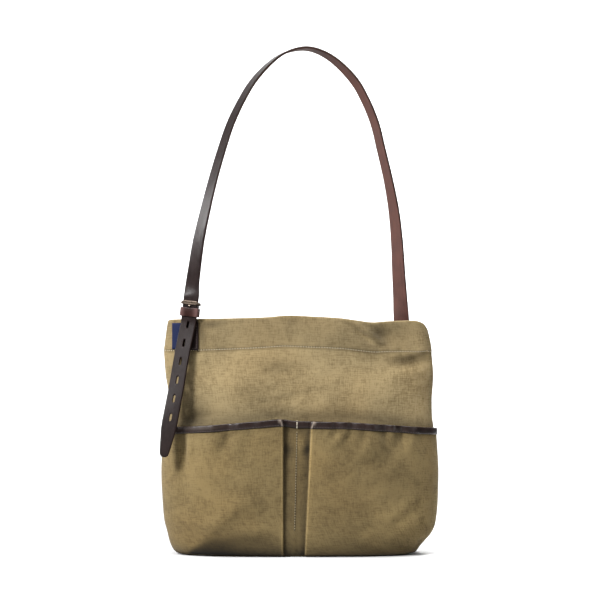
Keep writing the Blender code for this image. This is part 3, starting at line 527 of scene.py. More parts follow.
def slab_faces(rings, count):
    """Faces of a slab whose rings run along its outer face and back along its inner face."""
    faces = tube_faces(rings, count)
    top = (rings - 1) * count
    for j in range(count // 2 - 1):
        k = count - 1 - j
        faces += [(j, j + 1, k - 1, k), (top + j, top + j + 1, top + k - 1, top + k)]
    return faces


PATH_SAMPLES = 30


def smooth_path(knots):
    """Dense smooth path through the knots, each a row of x, y, z and twist."""
    knots = np.array(knots)
    dense = []
    for i in range(len(knots) - 1):
        p0 = knots[max(i - 1, 0)]
        p1 = knots[i]
        p2 = knots[i + 1]
        p3 = knots[min(i + 2, len(knots) - 1)]
        chord = max(np.linalg.norm(p2[:3] - p1[:3]), 1e-9)
        before = max(np.linalg.norm(p1[:3] - p0[:3]), 1e-9)
        after = max(np.linalg.norm(p3[:3] - p2[:3]), 1e-9)
        start = (p2 - p1) / chord if i == 0 else (p2 - p0) / (chord + before)
        end = (p2 - p1) / chord if i == len(knots) - 2 else (p3 - p1) / (chord + after)
        for k in range(PATH_SAMPLES):
            t = k / PATH_SAMPLES
            h00 = 2 * t ** 3 - 3 * t ** 2 + 1
            h10 = t ** 3 - 2 * t ** 2 + t
            h01 = -2 * t ** 3 + 3 * t ** 2
            h11 = t ** 3 - t ** 2
            dense.append(h00 * p1 + h10 * chord * start + h01 * p2 + h11 * chord * end)
    dense.append(knots[-1])
    return np.array(dense)


class Shader:
    """Small helper that builds a Principled material from nodes."""

    def __init__(self, name):
        self.material = bpy.data.materials.new(name)
        self.material.use_nodes = True
        self.tree = self.material.node_tree

    def feed(self, node, sockets):
        """Links an output, or gives a constant, to each named socket of a node."""
        for socket, value in sockets.items():
            if isinstance(value, bpy.types.NodeSocket):
                self.tree.links.new(value, node.inputs[socket])
            elif value is not None:
                node.inputs[socket].default_value = value

    def node(self, kind, output, sockets=None, **settings):
        """Adds a node and returns one of its outputs."""
        node = self.tree.nodes.new(kind)
        for key, value in settings.items():
            setattr(node, key, value)
        self.feed(node, sockets or {})
        return node.outputs[output]

    def coords(self, kind, scale=(1.0, 1.0, 1.0)):
        place = self.node("ShaderNodeTexCoord", kind)
        return self.node("ShaderNodeMapping", "Vector", {"Vector": place, "Scale": scale})

    # Reads the vertex attribute of painted shade and painted light.
    def painted_light_and_tone(self):
        return self.node("ShaderNodeAttribute", "Fac", attribute_type="GEOMETRY", attribute_name="painted_light_and_tone")

    def noise(self, vector, scale, detail=3.0, rough=0.5, distortion=0.0):
        return self.node("ShaderNodeTexNoise", "Fac", {"Vector": vector, "Scale": scale, "Detail": detail,
                                                       "Roughness": rough, "Distortion": distortion})

    def cells(self, vector, scale):
        return self.node("ShaderNodeTexVoronoi", "Distance", {"Vector": vector, "Scale": scale}, feature="F1")

    def wave(self, vector, scale, direction):
        return self.node("ShaderNodeTexWave", "Fac", {"Vector": vector, "Scale": scale},
                         wave_type="BANDS", bands_direction=direction, wave_profile="SIN")

    def math(self, operation, a, b, clamp=False):
        return self.node("ShaderNodeMath", "Value", {0: a, 1: b}, operation=operation, use_clamp=clamp)

    def total(self, *terms):
        """Weighted sum of pairs of value and weight."""
        whole = None
        for value, weight in terms:
            part = self.math("MULTIPLY", value, weight)
            whole = part if whole is None else self.math("ADD", whole, part)
        return whole

    def ramp(self, fac, stops):
        colour = self.node("ShaderNodeValToRGB", "Color", {"Fac": fac})
        elements = colour.node.color_ramp.elements
        while len(elements) < len(stops):
            elements.new(0.5)
        for element, (position, tint) in zip(elements, stops):
            element.position = position
            element.color = (*tint, 1.0)
        return colour

    def map_range(self, value, low, high, to_low, to_high):
        return self.node("ShaderNodeMapRange", "Result", {"Value": value, "From Min": low, "From Max": high,
                                                          "To Min": to_low, "To Max": to_high})

    def mix(self, fac, a, b, mode="MIX"):
        """Mixes two colours; a plain one is a tuple of three."""
        a, b = [(*value, 1.0) if isinstance(value, tuple) else value for value in (a, b)]
        return self.node("ShaderNodeMix", 2, {0: fac, 6: a, 7: b}, data_type="RGBA", blend_type=mode)

    def bump(self, height, strength, distance, normal=None):
        return self.node("ShaderNodeBump", "Normal", {"Height": height, "Strength": strength,
                                                      "Distance": distance, "Normal": normal})

    def finish(self, **sockets):
        """Feeds the Principled shader; a socket's name has low lines for its spaces."""
        shader = self.tree.nodes["Principled BSDF"]
        self.feed(shader, {key.replace("_", " "): value for key, value in sockets.items()})
        return self.material


WEAVE_PITCH = 0.0011
LABEL_RIB = 0.0009
LEATHER_GRAIN_DEPTH = 0.00012


def canvas_material(name, dark, mid, light):
    """Dry waxed canvas: plain weave with slubs and mottled wax, its colour scaled by the vertex attribute of
    painted shade and painted light. UVs in metres.
    """
    s = Shader(name)
    uv = s.coords("UV")
    stretches = ((1.0, 0.10, 1.0), (0.10, 1.0, 1.0))
    slubs = [s.noise(s.coords("UV", stretch), 760.0, 2.0, 0.6) for stretch in stretches]
    threads = s.math("ADD", *slubs)
    grain = s.noise(uv, 420.0, 3.0, 0.65)
    mottle = s.noise(uv, 120.0, 4.0, 0.62)
    cloud = s.noise(uv, 17.0, 4.0, 0.6, 0.6)
    tone = s.total((threads, 0.42), (grain, 0.30), (mottle, 0.34), (cloud, 0.36))
    tone = s.map_range(tone, 0.62, 0.98, 0.0, 1.0)
    colour = s.ramp(tone, ((0.0, dark), (0.5, mid), (1.0, light)))
    warm = s.map_range(s.noise(uv, 9.0, 2.0, 0.5), 0.4, 0.7, 0.0, 0.5)
    colour = s.mix(warm, colour, (1.06, 0.97, 0.86), "MULTIPLY")
    # painted shade and painted light from the vertex attribute darken or lighten the canvas colour
    shade = s.math("MULTIPLY", s.math("ADD", s.painted_light_and_tone(), 1.0), s.map_range(cloud, 0.3, 0.7, 0.92, 1.08))
    grey = s.node("ShaderNodeCombineColor", "Color", {"Red": shade, "Green": shade, "Blue": shade})
    colour = s.mix(1.0, colour, grey, "MULTIPLY")
    waves = [s.wave(uv, 0.5 / WEAVE_PITCH, direction) for direction in ("X", "Y")]
    gaps = [s.math("SUBTRACT", 1.0, wave) for wave in waves]
    weave = s.math("ADD", s.math("MULTIPLY", *waves), s.math("MULTIPLY", *gaps))
    normal = s.bump(s.total((weave, 0.6), (threads, 0.7)), 0.42, 0.00035)
    normal = s.bump(mottle, 0.22, 0.0008, normal)
    normal = s.bump(cloud, 0.35, 0.0035, normal)
    rough = s.map_range(mottle, 0.3, 0.7, 0.86, 0.98)
    return s.finish(Base_Color=colour, Roughness=rough, Normal=normal, Sheen_Weight=0.04,
                    Sheen_Roughness=0.6, Specular_IOR_Level=0.10)


def leather_material(name, dark, light, rough_low, rough_high, grain_scale=1500.0, crease_strength=0.25,
                     painted_highlight=(0.10, 0.060, 0.050), shine=0.08):
    """Grained leather, streaked along Z and mixed toward a painted highlight colour where the vertex
    attribute asks.
    """
    s = Shader(name)
    place = s.coords("Object")
    cells = s.cells(place, grain_scale)
    fine = s.noise(place, grain_scale * 0.55, 4.0, 0.6)
    broad = s.noise(place, 60.0, 3.0, 0.6, 0.5)
    streak = s.noise(s.coords("Object", (1.0, 1.0, 0.14)), 210.0, 3.0, 0.6)
    tone = s.total((broad, 0.5), (streak, 0.35), (fine, 0.15))
    colour = s.ramp(s.map_range(tone, 0.35, 0.65, 0.0, 1.0), ((0.0, dark), (1.0, light)))
    # mixes toward the painted highlight colour by the vertex attribute
    colour = s.mix(s.math("MULTIPLY", s.painted_light_and_tone(), 1.0, clamp=True), colour, painted_highlight)
    normal = s.bump(s.total((cells, 0.6), (fine, 0.6)), 0.5, LEATHER_GRAIN_DEPTH)
    normal = s.bump(streak, crease_strength, 0.0006, normal)
    rough = s.map_range(tone, 0.35, 0.65, rough_low, rough_high)
    return s.finish(Base_Color=colour, Roughness=rough, Normal=normal, Specular_IOR_Level=shine)


def plain_material(name, colour, roughness, metallic, vary, scale, bump, depth):
    """One colour that varies from place to place, for metal and thread."""
    s = Shader(name)
    speck = s.noise(s.coords("Object"), scale, 4.0, 0.6)
    low = tuple(c * (1.0 - vary) for c in colour)
    high = tuple(min(1.0, c * (1.0 + vary)) for c in colour)
    shade = s.ramp(s.map_range(speck, 0.35, 0.65, 0.0, 1.0), ((0.0, low), (1.0, high)))
    rough = s.map_range(speck, 0.3, 0.7, max(0.02, roughness - 0.08), min(1.0, roughness + 0.08))
    return s.finish(Base_Color=shade, Roughness=rough, Normal=s.bump(speck, bump, depth), Metallic=metallic)


def thread_material(name, colour, roughness=0.85, vary=0.10):
    return plain_material(name, colour, roughness, 0.0, vary, 2500.0, 0.3, 0.0001)


def label_material():
    """Woven navy tape with fine ribs. UVs in metres."""
    s = Shader("label_weave")
    uv = s.coords("UV")
    tone = s.total((s.wave(uv, 0.5 / LABEL_RIB, "Y"), 0.5), (s.noise(uv, 900.0, 3.0, 0.6), 0.5))
    colour = s.ramp(tone, ((0.2, (0.0018, 0.0032, 0.0140)), (0.85, (0.0046, 0.0082, 0.0320))))
    return s.finish(Base_Color=colour, Roughness=0.85, Normal=s.bump(tone, 0.4, 0.0002),
                    Specular_IOR_Level=0.12)


SIDE_COLUMNS = 170
RIM_STEPS = 8
PUCKER_PITCH = 0.0078
RIPPLE_PITCH = 0.0165

# Run along the cloth round the sack for each turn, read at one level for all.
ARC_LEVEL = 1.2
ARC_TURNS = np.linspace(0.0, 2.0 * math.pi, 721)
ARC_LENGTHS = run_lengths(np.stack(plan_points(np.full(len(ARC_TURNS), ARC_LEVEL), ARC_TURNS), axis=-1))


def arc_at(turn):
    return np.interp(turn, ARC_TURNS, ARC_LENGTHS)


def hem_level(x):
    """Level of the hem's stitching, which runs on straight where the rim drops at its ends."""
    x = np.asarray(x, float)
    held = np.clip(x, -0.88 * HALF_WIDTH, 0.86 * HALF_WIDTH)
    low = mouth_height(x)
    line = mouth_height(held) + (HEM_UP + 0.014 - 1.0) * (rim_height(held) - mouth_height(held))
    return 1.0 + (line - low) / (rim_height(x) - low)


def sack_detail(up, turn, points):
    """Small relief of the sack: creases, soft noise, hem, seams and puckers along the stitching."""
    x = points[..., 0]
    z = points[..., 2]
    front = turn <= math.pi
    free = np.where(front, rise(up, 1.0, 0.10), 1.0)
    detail = np.where(front, crease(x, z, SACK_CREASES), 0.0) * free
    detail += np.where(front, 0.0, crease(-x * 0.96, z, SACK_CREASES + PANEL_CREASES)) * 0.7
    detail += soft_relief(points, SACK_NOISE) * free
    over = up - hem_level(x)
    run = arc_at(turn)
    detail += rise(over, -0.022, 0.012) * 0.00045
    pucker = 0.5 + 0.5 * np.sin(run / PUCKER_PITCH * 2.0 * math.pi + 2.0 * np.sin(run / 0.031))
    detail -= bell(over, 0.012) * (0.00035 + 0.00040 * pucker)
    ripple = np.sin(run / RIPPLE_PITCH * 2.0 * math.pi + 1.7 * np.sin(run / 0.043))
    detail += bell(over, 0.075) * ripple * 0.00026
    seam = np.minimum(turn, np.minimum(np.abs(turn - math.pi), np.abs(turn - 2.0 * math.pi)))
    return detail - 0.0006 * bell(seam, 0.035)


def build_sack(material, inner_material):
    count = 2 * SIDE_COLUMNS
    turns = np.arange(count) * math.pi / SIDE_COLUMNS
    ups = np.concatenate((
        np.linspace(0.0, 0.064, 7)[:-1], np.linspace(0.064, 1.0, 44)[:-1],
        np.linspace(1.0, HEM_UP - 0.03, 34)[:-1], np.linspace(HEM_UP - 0.03, HEM_UP + 0.05, 13)[:-1],
        np.linspace(HEM_UP + 0.05, 1.99, 17),
    ))
    grid_up, grid_turn = np.meshgrid(ups, turns, indexing="ij")
    base = skin(grid_up, grid_turn)
    detail = sack_detail(grid_up, grid_turn, base)
    detail *= np.clip(grid_up / 0.05, 0.0, 1.0)
    outer = skin(grid_up, grid_turn, 0.0, detail)
    outer[0, :, 2] = 0.0
    rows = [outer]
    uvs = [np.stack([arc_at(grid_turn), base[..., 2]], axis=-1)]
    half = HEM_THICKNESS / 2.0
    top = np.full(count, 2.0)
    centre = skin(top, turns, half, detail[-1])
    out = skin(top, turns, 0.0, detail[-1]) - centre
    out[:, 2] = 0.0
    for k in range(1, RIM_STEPS):
        angle = math.pi * k / RIM_STEPS
        ring = centre + out * math.cos(angle)
        ring[:, 2] = centre[:, 2] + half * (math.sin(angle) - 1.0)
        rows.append(ring[None])
        uvs.append(np.stack([arc_at(turns), base[-1, :, 2] + 0.0003 * k], axis=-1)[None])
    inner_ups = np.concatenate((np.linspace(1.985, HEM_UP + 0.004, 12), [HEM_UP - 0.002],
                                np.linspace(HEM_UP - 0.02, 0.05, 44)))
    insets = np.where(inner_ups > HEM_UP, HEM_THICKNESS, CANVAS)
    in_up, in_turn = np.meshgrid(inner_ups, turns, indexing="ij")
    in_base = skin(in_up, in_turn)
    in_detail = sack_detail(in_up, in_turn, in_base)
    inner = skin(in_up, in_turn, insets[:, None], in_detail)
    rows.append(inner)
    uvs.append(np.stack([arc_at(in_turn) + 1.0, in_base[..., 2]], axis=-1))
    floor = inner[-1].copy()
    floor[:, :2] *= 0.93
    floor[:, 2] = 0.0021
    rows.append(floor[None])
    uvs.append(uvs[-1][-1:] - np.array((0.0, 0.008)))
    points = np.concatenate([r.reshape(-1, 3) for r in rows])
    uv = np.concatenate([u.reshape(-1, 2) for u in uvs])
    ring_count = len(points) // count
    faces = tube_faces(ring_count, count)
    inner_first = (len(ups) + RIM_STEPS - 1) * count
    slots = [1 if face[0] >= inner_first else 0 for face in faces]
    last = (ring_count - 1) * count
    for start in (0, last):
        middle = len(points)
        centre_point = np.array([[0.0, 0.0, points[start][2]]])
        points = np.concatenate([points, centre_point])
        uv = np.concatenate([uv, [[0.4, -0.05]]])
        for j in range(count):
            faces.append((start + j, start + (j + 1) % count, middle))
            slots.append(1 if start else 0)
    obj = new_object("canvas_sack", points, faces, [material, inner_material], uv, slots)
    x, y, z = points.T
    line = z - level_height(hem_level(x), x)
    # Painted highlight along the lit side of the upper right crease, on top of the front's painted shade and
    # light.
    dx, dz = x - HIGHLIGHT_STREAK_MIDDLE[0], z - HIGHLIGHT_STREAK_MIDDLE[1]
    along = dx * HIGHLIGHT_STREAK_RUN[0] + dz * HIGHLIGHT_STREAK_RUN[1]
    wide = dz * HIGHLIGHT_STREAK_RUN[0] - dx * HIGHLIGHT_STREAK_RUN[1]
    front = marks_at(x, z, SACK_PAINTED_SHADE_AND_LIGHT) + 0.36 * bell(along, HIGHLIGHT_STREAK_SIZE[0]) * bell(wide, HIGHLIGHT_STREAK_SIZE[1])
    # Painted shade in a band just above the pocket's mouth; the hem band above its stitching made darker.
    front -= 0.46 * bell(z - mouth_height(x) - 0.004, 0.011) + 0.20 * rise(line, 0.0, 0.003)
    # Front marks on the front only; the rim's edge made paler; painted light toward the right side.
    painted_light_and_tone = front * (y < 0.0) + 0.16 * bell(z - rim_height(x), 0.0016) + 0.32 * rise(x, 0.130, 0.040)
    # Painted shade along the dimples of the hem stitching and toward the bottom.
    painted_light_and_tone -= 0.26 * bell(line + 0.0012, 0.0018) + 0.30 * bell(z, 0.012)
    return outward(add_painted_light_and_tone(obj, painted_light_and_tone))


# Level of the pocket cloth just under its edging.
EDGE_LEVEL = 0.942
PANEL_UPS = np.concatenate((np.linspace(0.012, 0.20, 12)[:-1], np.linspace(0.20, EDGE_LEVEL, 50)[:-1],
                            np.linspace(EDGE_LEVEL, 1.0, 7)))
FOLD_ARC = 9
LEFT_COLUMNS = 62
RETURN_STEPS = 4
RECESS_STEPS = 30
MIDDLE_COLUMN = LEFT_COLUMNS + 2 * (FOLD_ARC + 1) + RETURN_STEPS - 1 + RECESS_STEPS // 2 - 1
FOLD_CLEAR = 0.0012


def panel_row_values(up):
    return [np.interp(up, [r[0] for r in PANEL_ROWS], [r[c] for r in PANEL_ROWS]) for c in (1, 2, 3)]


def front_stand_off(up, x, z, left_fold, right_fold):
    """Stand-off of the pocket's outer layer from the sack."""
    seam, pitch, belly = panel_row_values(up)
    outer = seam + 2.0 * pitch
    left, right = [float(v) for v in level_row(up)[:2]]
    share = np.where(x < 0.0, (x + HALF_WIDTH * left) / (left_fold + HALF_WIDTH * left),
                     (HALF_WIDTH * right - x) / (HALF_WIDTH * right - right_fold))
    share = np.clip(share, 0.0, 1.0)
    ease = share * share * (3.0 - 2.0 * share)
    swell = np.sin(math.pi * share ** 0.8)
    level = min(up, EDGE_LEVEL)
    push = sum(row[5] * bump(x / HALF_WIDTH, level, row[:5]) for row in PANEL_FOLDS)
    quiet = np.minimum(1.0, 4.0 * share * (1.0 - share))
    edge = np.minimum(1.0, share * 14.0)
    fine = crease(x, np.minimum(z, mouth_height(x) * EDGE_LEVEL), PANEL_CREASES)
    wave = np.sin(x / 0.0105 * math.pi + 2.2 * np.sin(x / 0.027)) * 0.00030 * rise(up, 0.72, 0.22)
    soft = soft_relief(np.stack([x, np.zeros_like(x), z], axis=-1), PANEL_NOISE)
    low = rise(up, 0.012, 0.12)
    extra = (fine + wave) * np.minimum(1.0, quiet + 0.25) * edge * low + soft * quiet * low
    value = seam + (outer - seam) * ease + belly * swell + push * quiet + extra
    return np.maximum(value, seam * np.minimum(1.0, 0.75 + ease))


def panel_path(up):
    """Centre line of the pocket cloth on one level."""
    seam, pitch, _ = [float(v) for v in panel_row_values(up)]
    radius = pitch / 2.0
    layers = (seam, seam + pitch, seam + 2.0 * pitch)
    left_fold = LEFT_FOLD * HALF_WIDTH
    right_fold = HALF_WIDTH * (RIGHT_FOLD_LOW + (RIGHT_FOLD_TOP - RIGHT_FOLD_LOW) * up)
    left, right = [float(v) for v in level_row(up)[:2]]
    middle = HALF_WIDTH * (right - left) / 2.0
    half = HALF_WIDTH * (right + left) / 2.0

    def pocket_front(start, end):
        turns = np.linspace(start, end, LEFT_COLUMNS)
        return [(middle - half * math.cos(turn), None, turn) for turn in turns]

    def fold_arc(x, sign, layer):
        angles = [math.pi * (0.5 - k / FOLD_ARC) for k in range(FOLD_ARC + 1)]
        return [(x + sign * radius * (1.0 - math.cos(a)), layer + radius * (1.0 + math.sin(a)), None)
                for a in angles]

    def half_pleat(fold, sign):
        turn_back = fold - sign * PLEAT_RETURN
        start, end = fold - sign * radius, turn_back + sign * radius
        between = [(start + (end - start) * k / RETURN_STEPS, layers[1], None)
                   for k in range(1, RETURN_STEPS)]
        return fold_arc(fold, -sign, layers[1]) + between + fold_arc(turn_back, sign, layers[0])

    start = left_fold - PLEAT_RETURN + radius
    end = right_fold + PLEAT_RETURN - radius
    spots = pocket_front(0.0, float(turn_at(up, left_fold - radius - FOLD_CLEAR)))
    spots += half_pleat(left_fold, 1.0)
    spots += [(start + (end - start) * k / RECESS_STEPS, layers[0], None) for k in range(1, RECESS_STEPS)]
    spots += reversed(half_pleat(right_fold, -1.0))
    spots += pocket_front(float(turn_at(up, right_fold + radius + FOLD_CLEAR)), math.pi)
    xs = np.array([s[0] for s in spots])
    turns = np.array([s[2] if s[2] is not None else float(turn_at(up, s[0])) for s in spots])
    ups = np.full(len(xs), up)
    path = skin(ups, turns)
    nx, ny = plan_normals(ups, turns)
    outer = front_stand_off(up, xs, path[:, 2], left_fold, right_fold)
    off = np.array([outer[i] if s[1] is None else s[1] for i, s in enumerate(spots)])
    recess = np.array([s[1] is not None and abs(s[1] - layers[0]) < 1e-9 for s in spots])
    beside = xs - PLEAT_CENTRE * HALF_WIDTH
    dents = np.maximum(crease(xs, path[:, 2], PLEAT_CREASES), -0.0003) * min(1.0, up * 3.0)
    ridge = (0.0006 * bell(beside, 0.012) - 0.0005 * bell(beside, 0.0016)) * (1.0 if up < 0.94 else 0.0)
    off = off + np.where(recess, dents + ridge, 0.0)
    path[:, 0] += nx * off
    path[:, 1] += ny * off
    return path


def path_normals(path):
    delta = np.diff(path[:, :2], axis=0)
    delta /= np.linalg.norm(delta, axis=1, keepdims=True)
    first = np.vstack([delta[:1], delta])
    second = np.vstack([delta, delta[-1:]])
    middle = first + second
    middle /= np.linalg.norm(middle, axis=1, keepdims=True)
    cosine = np.maximum(np.sum(middle * first, axis=1), 0.6)
    return np.stack([middle[:, 1] / cosine, -middle[:, 0] / cosine, np.zeros(len(path))], axis=-1)


def build_panel(material):
    rings = []
    uvs = []
    for up in PANEL_UPS:
        path = panel_path(float(up))
        offset = path_normals(path) * PANEL_CLOTH / 2.0
        rings.append(np.vstack([path + offset, (path - offset)[::-1]]))
        uv = np.stack([run_lengths(path[:, :2]) + 2.0, path[:, 2]], axis=-1)
        uvs.append(np.vstack([uv, uv[::-1]]))
    points = np.concatenate(rings)
    obj = new_object("pocket_cloth", points, slab_faces(len(rings), len(rings[0])), [material],
                     np.concatenate(uvs))
    x, y, z = points.T
    left_fold = LEFT_FOLD * HALF_WIDTH
    right_fold = HALF_WIDTH * (RIGHT_FOLD_LOW + (RIGHT_FOLD_TOP - RIGHT_FOLD_LOW) * z / MOUTH_HEIGHT)
    inside = rise(x - left_fold, 0.0002, 0.0012) * rise(right_fold - x, 0.0002, 0.0012)
    side = bell(x - left_fold, 0.007) + bell(x - right_fold, 0.007)
    edge = bell(x - left_fold + 0.0009, 0.0010) + bell(x - right_fold - 0.0009, 0.0010)
    # Painted shade in the pleat's recess, deeper beside its folds, with the recess's painted shade and light;
    # painted highlights along the outer fold edges.
    painted_light_and_tone = inside * (-0.34 - 0.24 * side + marks_at(x, z, PLEAT_PAINTED_SHADE_AND_LIGHT)) + 0.62 * edge * (1.0 - inside)
    # Painted shade over the right pocket and toward the bottom.
    painted_light_and_tone -= 0.13 * rise(x, right_fold, 0.06) + 0.34 * bell(z, 0.014)
    # Painted shade under the overhanging fold at the lower left, below its brink line.
    low = rise(x, -0.148, 0.006) * (x < left_fold)
    ridge = 0.012 + (x + 0.139) * 0.78
    brink = np.interp(x, BRINK_X, BRINK_Z)
    fade = 1.0 - 0.45 * rise(x, -0.095, 0.065)
    blur = 0.0016 + 0.0020 * rise(x, -0.120, 0.060)
    painted_light_and_tone -= 0.64 * low * fade / (1.0 + np.exp(np.clip((z - brink) / blur, -30.0, 30.0)))
    # Painted highlight along the ridge above that fold.
    painted_light_and_tone += 0.14 * low * bell(z - ridge - 0.004, 0.0045) * (x < -0.085)
    # Painted light at the lower right and painted shade just under the edging.
    painted_light_and_tone += marks_at(x, z, POCKET_PAINTED_LIGHT) - 0.14 * bell(mouth_height(x) * 0.945 - z, 0.006)
    # Painted light toward the right edge.
    painted_light_and_tone += 0.42 * rise(x, 0.125, 0.045)
    return outward(add_painted_light_and_tone(obj, painted_light_and_tone))


EDGE_OUT = PANEL_CLOTH / 2.0 + GAP + BINDING_LEATHER


def build_binding(material):
    """Leather edging folded over the pocket's edge."""
    top = panel_path(1.0)
    below = panel_path(EDGE_LEVEL)
    normals = path_normals(top)
    inside = PANEL_CLOTH / 2.0 + 0.00012
    run = run_lengths(top[:, :2])
    points = []
    uv = []
    painted_highlight = []
    profile = [(1.0, 1.0 - k / 5.0, 0.0) for k in range(6)]
    profile += [(math.cos(math.pi * k / 8), 0.0, math.sin(math.pi * k / 8)) for k in range(1, 8)]
    profile += [(-1.0, k / 5.0, 0.0) for k in range(6)]
    count = len(profile) + 4
    for i in range(len(top)):
        high = top[i]
        drop = high[2] - below[i][2]
        wobble = 0.00012 * math.sin(run[i] / 0.006) + 0.00008 * math.sin(run[i] / 0.0023)
        low_dir = (below[i] - high) / drop
        for side, down, crown in profile:
            spot = high + low_dir * (BINDING_DROP + 0.0002 * math.sin(run[i] / 0.011)) * down
            swell = 1.0 + 0.10 * math.sin(math.pi * min(1.0, down * 1.15)) - (0.30 if down > 0.99 else 0.0)
            spot = spot + normals[i] * (EDGE_OUT + wobble) * side * swell
            spot = spot + np.array((0.0, 0.0, (GAP + BINDING_LEATHER) * crown))
            points.append(spot)
            uv.append((run[i], down * BINDING_DROP * side))
            # Painted highlights on the outer face: a broad sheen at the left and at the right, and a thin
            # glint along the bend at each pleat fold.
            slant = 0.0020 * (down - 0.5)
            left_line = high[0] - (LEFT_FOLD * HALF_WIDTH - 0.0022 + slant)
            right_line = high[0] - (HALF_WIDTH * RIGHT_FOLD_TOP + 0.0022 - slant)
            shine = 0.13 * math.exp(-((high[0] + 0.125) / 0.024) ** 2 - ((down - 0.25) / 0.25) ** 2)
            shine += 0.10 * math.exp(-((high[0] - 0.127) / 0.012) ** 2 - ((down - 0.5) / 0.20) ** 2)
            shine += math.exp(-(left_line / 0.0008) ** 2) + math.exp(-(right_line / 0.0008) ** 2)
            painted_highlight.append(shine * (side > 0.0))
        for side, down in ((-1.0, 1.0), (-1.0, 0.0), (1.0, 0.0), (1.0, 1.0)):
            points.append(high + low_dir * BINDING_DROP * down + normals[i] * inside * side)
            uv.append((run[i], 0.02))
            painted_highlight.append(0.0)
    faces = tube_faces(len(top), count, caps=True)
    return outward(add_painted_light_and_tone(new_object("pocket_edging", points, faces, [material], uv), painted_highlight))


def hem_stack():
    return GAP + EASE + CHAPE_THICKNESS + EASE + CHAPE_LIFT + STRAP_THICKNESS / 2.0


def ribbon_axes(run, twist):
    inward = unit(np.cross(np.array((0.0, 1.0, 0.0)), run))
    forward = np.cross(inward, run)
    cosine, sine = math.cos(math.radians(twist)), math.sin(math.radians(twist))
    return inward * cosine + forward * sine, forward * cosine - inward * sine


def buckle_place():
    """Strap centre at the prong, run, width and face directions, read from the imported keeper."""
    lean = unit(np.array(BUCKLE_LEAN))
    turn = float(turn_at(2.0, BUCKLE_X))
    base = skin(2.0, turn)
    nx, ny = plan_normals(np.array(2.0), np.array(turn))
    foot = base + np.array((float(nx), float(ny), 0.0)) * hem_stack()
    foot[2] = float(rim_height(BUCKLE_X))
    origin = foot + lean * BUCKLE_ABOVE_RIM
    width, face = ribbon_axes(lean, BUCKLE_TWIST)
    low, high = [np.array(c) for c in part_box("keeper")]
    middle = (low + high) / 2.0
    guess = local_point((origin, lean, width, face), 0.0,
                        (STRAP_THICKNESS / 2.0 + front_ply_depth() - CHAPE_THICKNESS / 2.0) / 2.0,
                        KEEPER_TOP - KEEPER_HEIGHT / 2.0)
    return origin + (middle - guess), lean, width, face


def local_point(place, side, depth, rise):
    origin, run, width, face = place
    return origin + width * side + face * depth + run * rise


def front_ply_depth():
    return -(STRAP_THICKNESS / 2.0 + EASE + CHAPE_THICKNESS / 2.0)


def bar_centre():
    return (front_ply_depth() - CHAPE_THICKNESS / 2.0 - GAP - BAR_RADIUS,
            BAR_RADIUS + GAP + PRONG_THICKNESS / 2.0)


def strap_knots(place):
    origin, lean, _, _ = place
    rim = float(rim_height(BUCKLE_X))
    knots = [(a * HALF_WIDTH, f * HALF_DEPTH, rim - d * TAIL_DROP, t) for a, f, d, t in TAIL_ROWS]
    for along in (-0.023, -0.015, 0.0, 0.008, 0.014):
        spot = origin + lean * along
        knots.append((spot[0], spot[1], spot[2], BUCKLE_TWIST))
    foot = BODY_HEIGHT - FOOT_BELOW_RIM
    for across, up, back, twist in ARCH_ROWS:
        y = FRONT_FOOT_Y + (REAR_FOOT_Y - FRONT_FOOT_Y) * back
        knots.append((STRAP_FOOT_X + across * STRAP_SPAN, y, foot + up * STRAP_RISE, twist))
    stand_off = GAP + EASE + STRAP_THICKNESS / 2.0
    for across, up in REAR_ROWS:
        turn = 2.0 * math.pi - float(turn_at(up, across * HALF_WIDTH))
        base = skin(up, turn)
        nx, ny = [float(v) for v in plan_normals(np.array(up), np.array(turn))]
        spot = base + np.array((nx, ny, 0.0)) * stand_off
        knots.append((spot[0], spot[1], spot[2], 180.0 - math.degrees(math.atan2(nx, ny))))
    return knots


CORNER_STEPS = 5
FLAT_STEPS = 10


def rounded_section(half_width, half, radius):
    """Outline of a flat strap with rounded edges, from its left edge over the grain face."""
    radius = min(radius, half * 0.98, half_width * 0.6)
    spots = []
    corners = ((-1, 1, 180.0), (1, 1, 90.0), (1, -1, 0.0), (-1, -1, 270.0))
    for index, (sx, sy, start) in enumerate(corners):
        cx, cy = sx * (half_width - radius), sy * (half - radius)
        for k in range(CORNER_STEPS + 1):
            angle = math.radians(start - 90.0 * k / CORNER_STEPS)
            spots.append((cx + radius * math.cos(angle), cy + radius * math.sin(angle)))
        if index in (0, 2):
            spots += [(cx * (1.0 - 2.0 * k / FLAT_STEPS), sy * half) for k in range(1, FLAT_STEPS)]
    return spots


def swept(name, stations, thickness, radius, materials):
    """Rounded ribbon through stations of centre, width, face and half width; slot 1 is the lower face."""
    half = thickness / 2.0
    run = run_lengths(np.array([station[0] for station in stations]))
    points = []
    uv = []
    for along, (centre, width, face, half_width) in zip(run, stations):
        for side, level in rounded_section(half_width, half, radius):
            points.append(centre + width * side + face * level)
            uv.append((side, along))
    full = rounded_section(1.0, half, radius)
    count = len(full)
    kinds = []
    for j in range(count):
        level = (full[j][1] + full[(j + 1) % count][1]) / 2.0
        kinds.append(0 if level > half * 0.72 else (1 if level < -half * 0.72 else 2))
    face_slots = kinds * (len(stations) - 1) + [2, 2]
    faces = tube_faces(len(stations), count, caps=True)
    return outward(new_object(name, points, faces, materials, uv, face_slots))


def apply_boolean(obj, cutter):
    modifier = obj.modifiers.new("cut", "BOOLEAN")
    modifier.operation = "DIFFERENCE"
    modifier.solver = "EXACT"
    modifier.object = cutter
    depsgraph = bpy.context.evaluated_depsgraph_get()
    mesh = bpy.data.meshes.new_from_object(obj.evaluated_get(depsgraph))
    obj.modifiers.clear()
    old = obj.data
    obj.data = mesh
    bpy.data.meshes.remove(old)
    bpy.data.objects.remove(cutter)
    return obj


